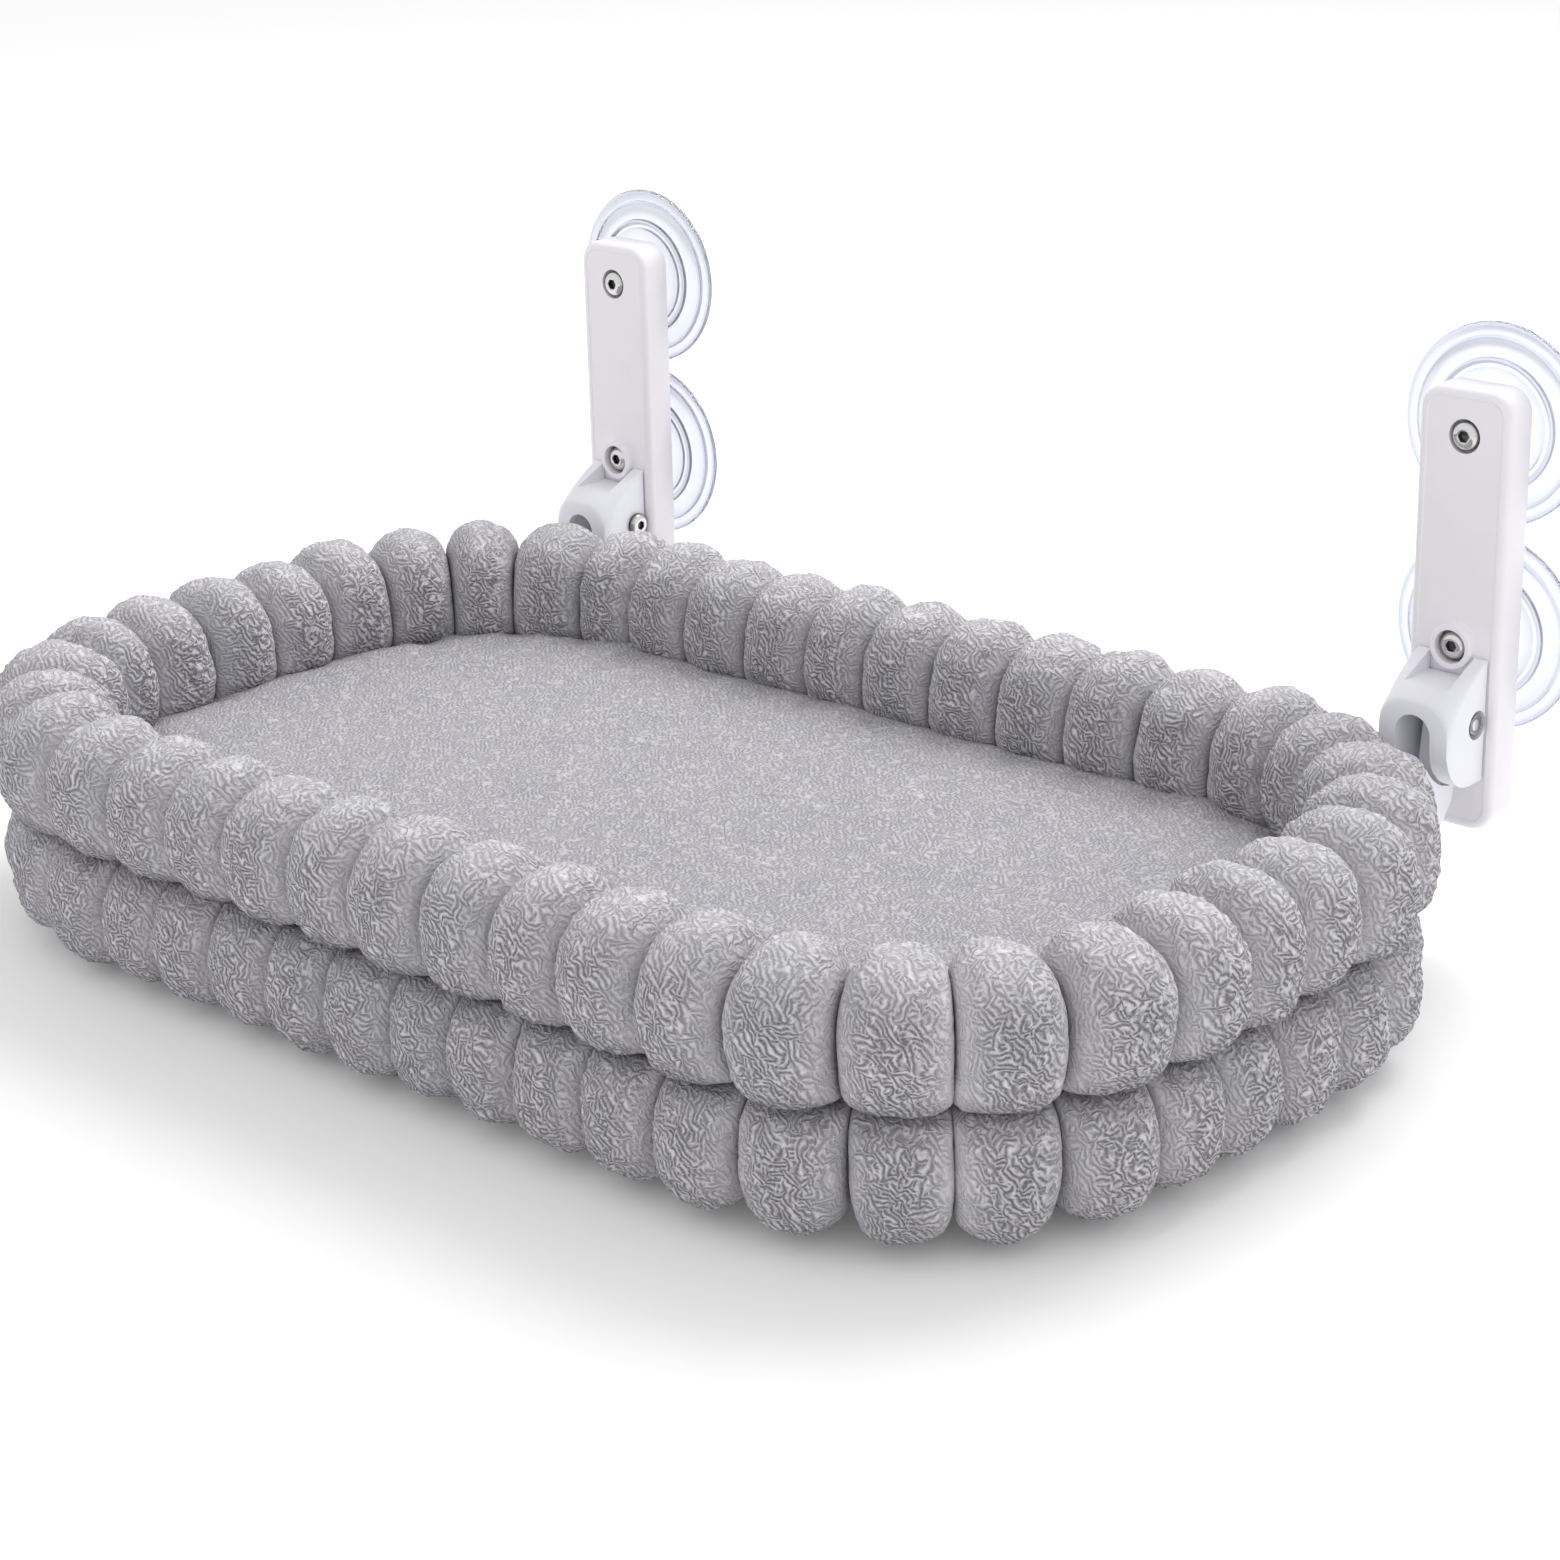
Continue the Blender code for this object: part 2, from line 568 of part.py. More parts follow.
def hinge_block(prefix, holder, side):
    """The white hinge block: two ears, an arched mouth, a heel that stops the arm, and its bores."""
    chin_start = BLOCK_DEPTH - BLOCK_CHIN_DEPTH
    depths = [(GAP, 0), (chin_start / 2, 0)]
    for k in range(CHIN_STEPS):
        depths.append((chin_start + BLOCK_CHIN_DEPTH * sin(pi / 2 * k / CHIN_STEPS), 0))
    depths[-1] = (BLOCK_DEPTH - BLOCK_EDGE, 0)
    depths.append((BLOCK_DEPTH - BLOCK_EDGE / 3, BLOCK_EDGE / 3))
    depths.append((BLOCK_DEPTH, BLOCK_EDGE))
    body = loft([block_section(*depth) for depth in depths])
    block = make_object(prefix + "hinge_block", body, GLOSS_ABS, holder)

    low = (-EAR_GAP_HALF_WIDTH, -BLOCK_DEPTH, EAR_FLOOR)
    high = (EAR_GAP_HALF_WIDTH, PIVOT_TO_BAR + CUT_OVERRUN, BLOCK_TOP + CUT_OVERRUN)
    boolean(block, make_object(prefix + "ear_cut", block_box(low, high), None, holder), "DIFFERENCE")

    floor = -BLOCK_BOTTOM - CUT_OVERRUN
    wall_back = BLOCK_DEPTH - PIVOT_TO_BAR - MOUTH_WALL
    chamber = [
        (-PIVOT_TO_BAR - CUT_OVERRUN, CHAMBER_TOP),
        (-PIVOT_TO_BAR - CUT_OVERRUN, -HEEL_TOP),
        (tongue_back(-HEEL_TOP) - GAP, -HEEL_TOP),
        (tongue_back(floor) - GAP, floor),
        (wall_back, floor),
        (wall_back, CHAMBER_TOP),
    ]
    half = MOUTH_HALF_WIDTH + BAR_FACE_INSET
    cutter = make_object(prefix + "chamber_cut", prism(chamber, -half, half), None, holder)
    boolean(block, cutter, "DIFFERENCE")

    arch = [(-MOUTH_HALF_WIDTH, floor), (MOUTH_HALF_WIDTH, floor)]
    for k in range(2 * CORNER_STEPS + 1):
        angle = pi * k / (2 * CORNER_STEPS)
        arch.append((MOUTH_HALF_WIDTH * cos(angle), MOUTH_SPRING + MOUTH_HALF_WIDTH * sin(angle)))
    rings = []
    for forward in (wall_back - MOUTH_WALL / 2, BLOCK_DEPTH):
        rings.append([Vector((x, -forward, z)) for x, z in arch])
    boolean(block, make_object(prefix + "mouth_cut", loft(rings), None, holder), "DIFFERENCE")

    recess_floor = BLOCK_HALF_WIDTH - NUT_RECESS_DEPTH
    profile = [
        (0, -BLOCK_HALF_WIDTH - CUT_OVERRUN),
        (BORE_RADIUS, -BLOCK_HALF_WIDTH - CUT_OVERRUN),
        (BORE_RADIUS, recess_floor),
        (NUT_RECESS_RADIUS, recess_floor),
        (NUT_RECESS_RADIUS, BLOCK_HALF_WIDTH + CUT_OVERRUN),
        (0, BLOCK_HALF_WIDTH + CUT_OVERRUN),
    ]
    outward = (0, side * pi / 2, 0)
    body = turned(profile, BORE_SIDES)
    cutter = make_object(prefix + "pivot_cut", body, None, holder, (0, 0, 0), outward)
    boolean(block, cutter, "DIFFERENCE")

    hole = BLOCK_SCREW_RADIUS + GAP
    depth = BLOCK_SCREW_LENGTH - BAR_SKIN + 2 * GAP
    profile = [(0, depth), (hole, depth), (hole, -CUT_OVERRUN), (0, -CUT_OVERRUN)]
    place = (0, PIVOT_TO_BAR, BLOCK_SCREW_HEIGHT)
    body = turned(profile, SMALL_SIDES)
    cutter = make_object(prefix + "block_hole_cut", body, None, holder, place, FACING_ROOM)
    boolean(block, cutter, "DIFFERENCE")


def bracket(prefix, side):
    """Everything that stays on the glass on one side."""
    holder = empty_at(prefix + "bracket", (side * BRACKET_X, PIVOT_Y, 0))
    mounting_bar(prefix, holder)
    for level, height in (("upper_", UPPER_SCREW_HEIGHT), ("lower_", LOWER_SCREW_HEIGHT)):
        suction_cup(prefix + level + "suction_cup", holder, height)
        cup_fixing(prefix + level, holder, height)
    hinge_block(prefix, holder, side)

    body = screw_body(
        BLOCK_SCREW_RADIUS,
        BLOCK_SCREW_LENGTH,
        BLOCK_SCREW_HEAD_RADIUS,
        BLOCK_SCREW_HEAD_HEIGHT,
        SMALL_SOCKET_RADIUS,
        SMALL_SOCKET_DEPTH,
    )
    place = (0, PIVOT_TO_BAR + BAR_SKIN + GAP, BLOCK_SCREW_HEIGHT)
    make_object(prefix + "block_screw", body, ZINC, holder, place, FACING_GLASS)

    nut_face = BLOCK_HALF_WIDTH - NUT_RECESS_DEPTH + GAP
    length = BLOCK_HALF_WIDTH + GAP + nut_face + PIVOT_NUT_HEIGHT
    body = screw_body(
        PIVOT_SHANK_RADIUS, length, PIVOT_HEAD_RADIUS, PIVOT_HEAD_HEIGHT, SOCKET_RADIUS, SOCKET_DEPTH
    )
    place = (-side * (BLOCK_HALF_WIDTH + GAP), 0, 0)
    make_object(prefix + "pivot_bolt", body, CHROME, holder, place, (0, -side * pi / 2, 0))
    nut = nut_body(PIVOT_NUT_RADIUS, BORE_RADIUS, PIVOT_NUT_HEIGHT)
    make_object(prefix + "pivot_nut", nut, ZINC, holder, (side * nut_face, 0, 0), (0, side * pi / 2, 0))


# Bed pieces, in a frame whose origin is on the hinge axis

def folding_arm(prefix, holder, side):
    """The white arm: tongue on the pivot, open channel through the rolls, tail with a saddle."""
    place = (side * BRACKET_X, 0, 0)
    shoulder = []
    for k in range(CORNER_STEPS + 1):
        angle = SHOULDER_FRONT_ANGLE + (SHOULDER_BACK_ANGLE - SHOULDER_FRONT_ANGLE) * k / CORNER_STEPS
        shoulder.append((ARM_SHOULDER_RADIUS * sin(angle), -ARM_SHOULDER_RADIUS * cos(angle)))
    back = [(ARM_DROP * u, ARM_DROP * w) for u, w in ARM_BACK_SHARES]
    front = [(ARM_DROP * u, ARM_DROP * w) for u, w in ARM_FRONT_SHARES]
    run_top = -ARM_DROP + ARM_RUN_HEIGHT
    tail = [
        (ARM_REACH, -ARM_DROP),
        (ARM_REACH, ARM_TAIL_TOP),
        (ARM_TAIL_START, ARM_TAIL_TOP),
        (ARM_TAPER_START, run_top),
    ]
    channel = prism(shoulder + back + tail + front, -ARM_HALF_WIDTH, ARM_HALF_WIDTH)
    arm = make_object(prefix + "arm", channel, GLOSS_ABS, holder, place)

    groove = [(ARM_DROP * u, ARM_DROP * w) for u, w in ARM_GROOVE_SHARES]
    groove_end = ARM_TAIL_START - ARM_FLANGE * 2
    groove += [(groove_end, ARM_TAIL_TOP), (groove_end, run_top + CUT_OVERRUN)]
    groove += [(ARM_SHOULDER_RADIUS * 2, 0), (0, 0)]
    half = ARM_HALF_WIDTH - ARM_FLANGE
    cutter = make_object(prefix + "groove_cut", prism(groove, -half, half), None, holder, place)
    boolean(arm, cutter, "DIFFERENCE")

    tongue = []
    for k in range(3 * CORNER_STEPS + 1):
        angle = pi * (1 - k / (3 * CORNER_STEPS))
        tongue.append((TONGUE_HEAD_RADIUS * cos(angle), TONGUE_HEAD_RADIUS * sin(angle)))
    tongue.append((TONGUE_FOOT_FRONT, -TONGUE_FOOT_DROP))
    tongue.append((TONGUE_FOOT_FRONT + ARM_WEB, -TONGUE_FOOT_DROP - 2 * ARM_WEB))
    tongue.append((tongue_back(-TONGUE_FOOT_DROP) + ARM_WEB, -TONGUE_FOOT_DROP - 2 * ARM_WEB))
    tongue.append((tongue_back(-TONGUE_FOOT_DROP), -TONGUE_FOOT_DROP))
    body = prism(tongue, -TONGUE_HALF_WIDTH, TONGUE_HALF_WIDTH)
    boolean(arm, make_object(prefix + "tongue_join", body, None, holder, place), "UNION")

    saddle_front = -SADDLE_CENTRE - SADDLE_LENGTH / 2 + ARM_FLANGE
    saddle_low = (-ARM_HALF_WIDTH, saddle_front, TUBE_HEIGHT + SADDLE_FOOT)
    saddle_high = (ARM_HALF_WIDTH, -SADDLE_CENTRE + SADDLE_LENGTH / 2, -ARM_DROP + ARM_FLANGE)
    saddle = make_object(prefix + "saddle_join", block_box(saddle_low, saddle_high), None, holder, place)
    boolean(arm, saddle, "UNION")

    hole = BORE_RADIUS + BUSH_WALL + GAP
    half = MOUTH_HALF_WIDTH
    cut = turned([(0, -half), (hole, -half), (hole, half), (0, half)], SMALL_SIDES)
    boolean(arm, make_object(prefix + "bush_cut", cut, None, holder, place, (0, pi / 2, 0)), "DIFFERENCE")
    seat = TUBE_RADIUS + GAP
    half = SADDLE_LENGTH / 2 + CUT_OVERRUN
    cut = turned([(0, -half), (seat, -half), (seat, half), (0, half)], TUBE_SIDES)
    middle = (side * BRACKET_X, -SADDLE_CENTRE, TUBE_HEIGHT)
    boolean(arm, make_object(prefix + "saddle_cut", cut, None, holder, middle, FACING_ROOM), "DIFFERENCE")
    head = ARM_SCREW_HEAD_RADIUS + GAP
    hole = ARM_SCREW_RADIUS + GAP
    for end, shift in (("front", ARM_SCREW_SPACING / 2), ("rear", -ARM_SCREW_SPACING / 2)):
        place = (side * BRACKET_X, -SADDLE_CENTRE - shift, ARM_TAIL_TOP)
        depth = -ARM_SCREW_LENGTH - CUT_OVERRUN
        profile = [
            (0, depth),
            (hole, depth),
            (hole, -ARM_SCREW_HEAD_HEIGHT - GAP),
            (head, -GAP),
            (head, CUT_OVERRUN),
            (0, CUT_OVERRUN),
        ]
        cut = turned(profile, SMALL_SIDES)
        boolean(arm, make_object(f"{prefix}{end}_arm_hole_cut", cut, None, holder, place), "DIFFERENCE")
        body = screw_body(
            ARM_SCREW_RADIUS,
            ARM_SCREW_LENGTH - ARM_SCREW_HEAD_HEIGHT,
            ARM_SCREW_HEAD_RADIUS,
            ARM_SCREW_HEAD_HEIGHT,
            SMALL_SOCKET_RADIUS,
            SMALL_SOCKET_DEPTH,
            countersunk=True,
        )
        seat_place = (place[0], place[1], ARM_TAIL_TOP - ARM_SCREW_HEAD_HEIGHT - GAP)
        make_object(f"{prefix}{end}_arm_screw", body, ZINC, holder, seat_place)

    inner = BORE_RADIUS
    half = MOUTH_HALF_WIDTH - GAP
    profile = [(inner, -half), (inner + BUSH_WALL, -half), (inner + BUSH_WALL, half), (inner, half)]
    bush = turned(profile, SMALL_SIDES)
    make_object(prefix + "pivot_bush", bush, NYLON, holder, (side * BRACKET_X, 0, 0), (0, pi / 2, 0))


def tube_piece(name, holder, centre, half_length, turn):
    """One straight frame tube, open at both ends."""
    inner = TUBE_RADIUS - TUBE_WALL
    profile = [(inner, -half_length), (TUBE_RADIUS, -half_length)]
    profile += [(TUBE_RADIUS, half_length), (inner, half_length)]
    return make_object(name, turned(profile, TUBE_SIDES), TUBE_STEEL, holder, centre, turn)


def elbow(name, holder, side_x, side_y, centre_y):
    """A corner bend: a quarter turn of tube with a straight socket for a tube at each end."""
    corner_x = side_x * (BRACKET_X - FRAME_BEND)
    corner_y = centre_y + side_y * (FRAME_HALF_WIDTH - FRAME_BEND)
    corner = Vector((corner_x, corner_y, TUBE_HEIGHT))
    along_x = Vector((side_x, 0, 0))
    along_y = Vector((0, side_y, 0))
    stations = [(-ELBOW_SOCKET, 0)] + [(0, pi / 2 * k / CORNER_STEPS) for k in range(CORNER_STEPS + 1)]
    stations.append((ELBOW_SOCKET, pi / 2))
    outer, inner = [], []
    for extra, angle in stations:
        outward = along_y * cos(angle) + along_x * sin(angle)
        forward = along_x * cos(angle) - along_y * sin(angle)
        centre = corner + outward * FRAME_BEND + forward * extra
        for rings, radius in ((outer, ELBOW_RADIUS), (inner, TUBE_RADIUS + GAP)):
            ring = []
            for k in range(TUBE_SIDES):
                turn = 2 * pi * k / TUBE_SIDES
                ring.append(centre + radius * (outward * cos(turn) + Vector((0, 0, 1)) * sin(turn)))
            rings.append(ring)
    return make_object(name, closed_loft(outer + inner[::-1]), TUBE_STEEL, holder)


def bed_frame(holder, centre_y):
    """Four steel tubes joined by four corner bends."""
    reach = GAP * 3
    half_long = BRACKET_X - FRAME_BEND - reach
    half_wide = FRAME_HALF_WIDTH - FRAME_BEND - reach
    for name, side_y in (("front_frame_tube", -1), ("rear_frame_tube", 1)):
        centre = (0, centre_y + side_y * FRAME_HALF_WIDTH, TUBE_HEIGHT)
        tube_piece(name, holder, centre, half_long, (0, pi / 2, 0))
    for prefix, side_x in (("left_", -1), ("right_", 1)):
        centre = (side_x * BRACKET_X, centre_y, TUBE_HEIGHT)
        tube = tube_piece(prefix + "frame_tube", holder, centre, half_wide, FACING_ROOM)
        hole = ARM_SCREW_RADIUS + GAP
        for end, shift in (("front", ARM_SCREW_SPACING / 2), ("rear", -ARM_SCREW_SPACING / 2)):
            cut = turned([(0, 0), (hole, 0), (hole, 2 * TUBE_RADIUS), (0, 2 * TUBE_RADIUS)], SMALL_SIDES)
            place = (side_x * BRACKET_X, -SADDLE_CENTRE - shift, TUBE_HEIGHT)
            cutter = make_object(f"{prefix}{end}_tube_hole_cut", cut, None, holder, place)
            boolean(tube, cutter, "DIFFERENCE")
        for end, side_y in (("front_", -1), ("rear_", 1)):
            elbow(prefix + end + "corner_bend", holder, side_x, side_y, centre_y)


def path_place(distance, half_u, half_v, corner):
    """Place and outward direction on a rounded rectangle, from the middle of its near right corner."""
    arc = corner * pi / 2
    runs = [(2 * (half_v - corner)), (2 * (half_u - corner))]
    distance = distance % (4 * arc + 2 * sum(runs))
    travelled = distance + arc / 2
    start = Vector((half_u - corner, -(half_v - corner), 0))
    for quarter in range(5):
        centre = Vector((start.x, start.y, 0))
        if travelled <= arc:
            angle = -pi / 2 + pi / 2 * quarter + travelled / corner
            outward = Vector((cos(angle), sin(angle), 0))
            return centre + outward * corner, outward
        travelled -= arc
        angle = pi / 2 * quarter
        outward = Vector((cos(angle), sin(angle), 0))
        along = Vector((-sin(angle), cos(angle), 0))
        run = runs[quarter % 2]
        if travelled <= run:
            return centre + outward * corner + along * travelled, outward
        travelled -= run
        start = centre + along * run
    return centre + outward * corner, outward


def bolster(name, holder, centre_y, segments, sides, inset, half_width, half_height, height, upper):
    """A plush roll: fat segments drawn in at deep seams, flat where the two rolls meet."""
    half_u = BED_HALF_LENGTH - inset
    half_v = BED_HALF_WIDTH - inset
    corner = BED_CORNER - inset
    length = 2 * pi * corner + 4 * (half_u - corner) + 4 * (half_v - corner)
    drawn_in = 1 - SEAM_DEPTH / half_width
    rings = []
    for segment in range(segments):
        for share in SEGMENT_RING_SHARES:
            place, outward = path_place(length * (segment + share) / segments, half_u, half_v, corner)
            swell = drawn_in if share == 0 else 1
            ring = []
            for k in range(sides):
                turn = 2 * pi * k / sides + (pi / 2 if upper else -pi / 2)
                level = height + swell * half_height * sin(turn)
                if upper:
                    level = max(level, CREASE_HEIGHT + GAP / 2)
                else:
                    level = min(level, CREASE_HEIGHT - GAP / 2)
                spread = place + outward * (swell * half_width * cos(turn))
                ring.append(Vector((spread.x, centre_y + spread.y, level)))
            rings.append(ring)
    roll = make_object(name, closed_loft(rings), PLUSH, holder)
    run_top = -ARM_DROP + ARM_RUN_HEIGHT + ROLL_CLEARANCE
    low = -ARM_DROP - ROLL_CLEARANCE
    front = [(ARM_DROP * u - ROLL_CLEARANCE, ARM_DROP * w + ROLL_CLEARANCE) for u, w in ARM_FRONT_SHARES]
    notch = [
        (0, low),
        (ARM_TAIL_START + ARM_NOTCH_RUN, low),
        (ARM_TAIL_START + ARM_NOTCH_RUN, ARM_TAIL_TOP + ROLL_CLEARANCE),
        (ARM_TAIL_START + ROLL_CLEARANCE, ARM_TAIL_TOP + ROLL_CLEARANCE),
        (ARM_TAPER_START + ROLL_CLEARANCE, run_top),
    ] + front + [(0, front[-1][1])]
    half = ARM_HALF_WIDTH + ROLL_CLEARANCE
    for prefix, side in (("left_", -1), ("right_", 1)):
        place = (side * BRACKET_X, 0, 0)
        cut = make_object(f"{prefix}{name}_notch", prism(notch, -half, half), None, holder, place)
        boolean(roll, cut, "DIFFERENCE")
    return roll


def floor_pad(holder, centre_y):
    """The flat pad between the rolls, with a low crown and a soft edge."""
    side_height = (PAD_TOP - PAD_EDGE_DROP + PAD_BOTTOM) / 2
    shape = [(PAD_EDGE_INSET + PAD_EDGE_DROP, PAD_BOTTOM), (PAD_EDGE_INSET, side_height)]
    for run, fall in PAD_CROWN_SHARES:
        shape.append((PAD_EDGE_INSET + PAD_EDGE_DROP * run, PAD_TOP - PAD_EDGE_DROP * fall))
    stations = []
    for inset, height in shape:
        corner = max(BED_CORNER - inset, PAD_EDGE_DROP)
        stations.append((BED_HALF_LENGTH - inset, BED_HALF_WIDTH - inset, corner, height))
    return make_object("floor_pad", loft(rounded_rings(stations, centre_y)), PILE, holder)


def sling_and_cover(holder, centre_y):
    """The sling cloth drawn over the frame, with its skirt, and the cover cloth below it."""
    inset = SLING_EDGE_INSET
    edge = (BED_HALF_LENGTH - inset, BED_HALF_WIDTH - inset, BED_CORNER - inset)
    skirt_in = SKIRT_RADIUS - CLOTH_THICKNESS
    inner = (BRACKET_X + skirt_in, FRAME_HALF_WIDTH + skirt_in, FRAME_BEND + skirt_in)
    outer = (BRACKET_X + SKIRT_RADIUS, FRAME_HALF_WIDTH + SKIRT_RADIUS, FRAME_BEND + SKIRT_RADIUS)
    stations = [
        (*edge, SLING_BOTTOM + CLOTH_THICKNESS),
        (*edge, SLING_BOTTOM),
        (*outer, SLING_BOTTOM),
        (*outer, SLING_HEM),
        (*inner, SLING_HEM),
        (*inner, SLING_BOTTOM),
    ]
    sling = make_object("base_sling", loft(rounded_rings(stations, centre_y)), SLING_CLOTH, holder)
    half = ARM_HALF_WIDTH + GAP
    notch_top = SLING_BOTTOM - GAP / 2
    for prefix, side in (("left_", -1), ("right_", 1)):
        low = (-half, -ARM_REACH + SADDLE_LENGTH, -ARM_DROP - GAP)
        high = (half, ARM_NOTCH_RUN - ARM_TAIL_START, notch_top)
        place = (side * BRACKET_X, 0, 0)
        cut = make_object(prefix + "sling_notch", block_box(low, high), None, holder, place)
        boolean(sling, cut, "DIFFERENCE")

    reach = LOWER_ROLL_INSET + LOWER_ROLL_HALF_WIDTH + GAP
    sizes = (BED_HALF_LENGTH - reach, BED_HALF_WIDTH - reach, BED_CORNER - reach)
    stations = [(*sizes, SLING_HEM - GAP - CLOTH_THICKNESS), (*sizes, SLING_HEM - GAP)]
    make_object("underside_cover", loft(rounded_rings(stations, centre_y)), SLING_CLOTH, holder)


def bed():
    """Everything that folds about the hinge axis."""
    holder = empty_at("bed_hinge", (0, PIVOT_Y, 0))
    centre_y = -BED_CENTRE_TO_GLASS - PIVOT_Y
    for prefix, side in (("left_", -1), ("right_", 1)):
        folding_arm(prefix, holder, side)
    bed_frame(holder, centre_y)
    sling_and_cover(holder, centre_y)
    floor_pad(holder, centre_y)
    bolster(
        "upper_bolster",
        holder,
        centre_y,
        UPPER_SEGMENTS,
        UPPER_ROLL_SIDES,
        0,
        UPPER_ROLL_HALF_WIDTH,
        UPPER_ROLL_HALF_HEIGHT,
        UPPER_ROLL_HEIGHT,
        True,
    )
    bolster(
        "lower_bolster",
        holder,
        centre_y,
        LOWER_SEGMENTS,
        LOWER_ROLL_SIDES,
        LOWER_ROLL_INSET,
        LOWER_ROLL_HALF_WIDTH,
        LOWER_ROLL_HALF_HEIGHT,
        LOWER_ROLL_HEIGHT,
        False,
    )


def main():
    clear_scene()
    bracket("left_", -1)
    bracket("right_", 1)
    bed()
    bpy.context.view_layer.update()


main()
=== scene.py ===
"""Finishes, plush and fine plastic for a cat window perch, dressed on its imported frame.

Metres, +Z up. The glass is the plane Y = 0 and the room lies towards -Y.
"""

from math import cos, pi, radians, sin

import bmesh
import bpy
import numpy as np
from bpy.props import (
    BoolProperty,
    FloatProperty,
    FloatVectorProperty,
    IntProperty,
    PointerProperty,
    StringProperty,
)
from mathutils import Matrix, Vector


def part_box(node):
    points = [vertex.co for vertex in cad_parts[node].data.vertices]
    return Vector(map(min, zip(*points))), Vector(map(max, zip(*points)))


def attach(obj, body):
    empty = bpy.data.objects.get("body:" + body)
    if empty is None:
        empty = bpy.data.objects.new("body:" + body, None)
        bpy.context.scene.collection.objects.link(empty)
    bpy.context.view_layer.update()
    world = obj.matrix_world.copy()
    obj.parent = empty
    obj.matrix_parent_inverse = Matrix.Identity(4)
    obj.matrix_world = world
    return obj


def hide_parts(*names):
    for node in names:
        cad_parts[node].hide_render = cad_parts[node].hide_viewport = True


bl_info = {
    "name": "Cat Window Perch Dressing",
    "version": (1, 0, 0),
    "blender": (4, 5, 0),
    "location": "View3D > Sidebar > Perch",
    "description": "Plush rolls, clear cups and moulded plastic of a cat window perch",
    "category": "Object",
}

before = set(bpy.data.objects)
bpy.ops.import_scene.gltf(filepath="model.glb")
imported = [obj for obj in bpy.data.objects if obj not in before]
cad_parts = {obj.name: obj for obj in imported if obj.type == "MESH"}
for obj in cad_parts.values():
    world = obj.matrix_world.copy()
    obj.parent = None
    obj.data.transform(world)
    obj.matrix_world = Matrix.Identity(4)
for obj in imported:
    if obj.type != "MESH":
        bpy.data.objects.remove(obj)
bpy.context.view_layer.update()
SIDES = ("left", "right")
LEVELS = ("upper", "lower")
MM = 0.001

# Sockets of Blender's mix node when it mixes colours
MIX_A, MIX_B, MIX_OUT = 6, 7, 2
# Blender's wave texture repeats every WAVE_STEP / Scale metres
WAVE_STEP = 0.314

# Sizes of what the materials draw, from the real ones
FLOW_MARK = 22 * MM
# A spark-eroded tool leaves pits of 0.1 mm, drawn ten times as coarse so that they show
SPARK_PIT = 1.1 * MM
POLISH_RIPPLE = 1.6 * MM
PVC_WAVE = 11 * MM
# Dull patches of a plated screw, and its turning marks of 0.1 mm drawn four times as coarse
PLATE_PATCH = 2.2 * MM
TURNING_MARK = 0.4 * MM
NYLON_CLOUD = 3 * MM
POWDER_DIMPLE = 1.2 * MM
# Threads of 0.3 mm, drawn at twice their width so that they show, and a thread's uneven stretches
THREAD = 0.5916 * MM
SLUB = 6 * MM
# Curls of the brushed pile lie about 2 mm apart in the photo, and the pad's pile is shorter
LONG_CURL = 1.8 * MM
SHORT_CURL = 1.5 * MM
BRUSHED_PATCH = 30 * MM


# Colours and shader nodes

def linear(code):
    """An sRGB hex colour as three linear shares."""
    shares = [int(code[i:i + 2], 16) / 255 for i in (1, 3, 5)]
    return tuple(c / 12.92 if c <= 0.04045 else ((c + 0.055) / 1.055) ** 2.4 for c in shares)


def tinted(colour, factor):
    """A colour made lighter or darker, with full alpha."""
    return (*(min(1, c * factor) for c in colour), 1)


def plug(tree, node, values):
    """Give a node's inputs their numbers and colours, and link those that come as sockets."""
    for key, value in values.items():
        if isinstance(value, bpy.types.NodeSocket):
            tree.links.new(value, node.inputs[key])
        else:
            node.inputs[key].default_value = value


def add(tree, kind, values=None, stops=(), out=0, **settings):
    """Add a node with its settings, links and (position, colour) stops, and return one output of it."""
    made = tree.nodes.new(kind)
    for key, value in settings.items():
        setattr(made, key, value)
    plug(tree, made, values or {})
    if stops:
        band = made.color_ramp.elements
        while len(band) < len(stops):
            band.new(0.5)
        for element, (position, colour) in zip(band, stops):
            element.position = position
            element.color = colour
    return made.outputs[out]


def start_material(name, values):
    """A material with a Principled shader set to values, and its place in metres as a socket."""
    material = bpy.data.materials.new(name)
    material.use_nodes = True
    tree = material.node_tree
    shader = tree.nodes["Principled BSDF"]
    plug(tree, shader, values)
    return material, tree, shader, add(tree, "ShaderNodeTexCoord", out="Object")


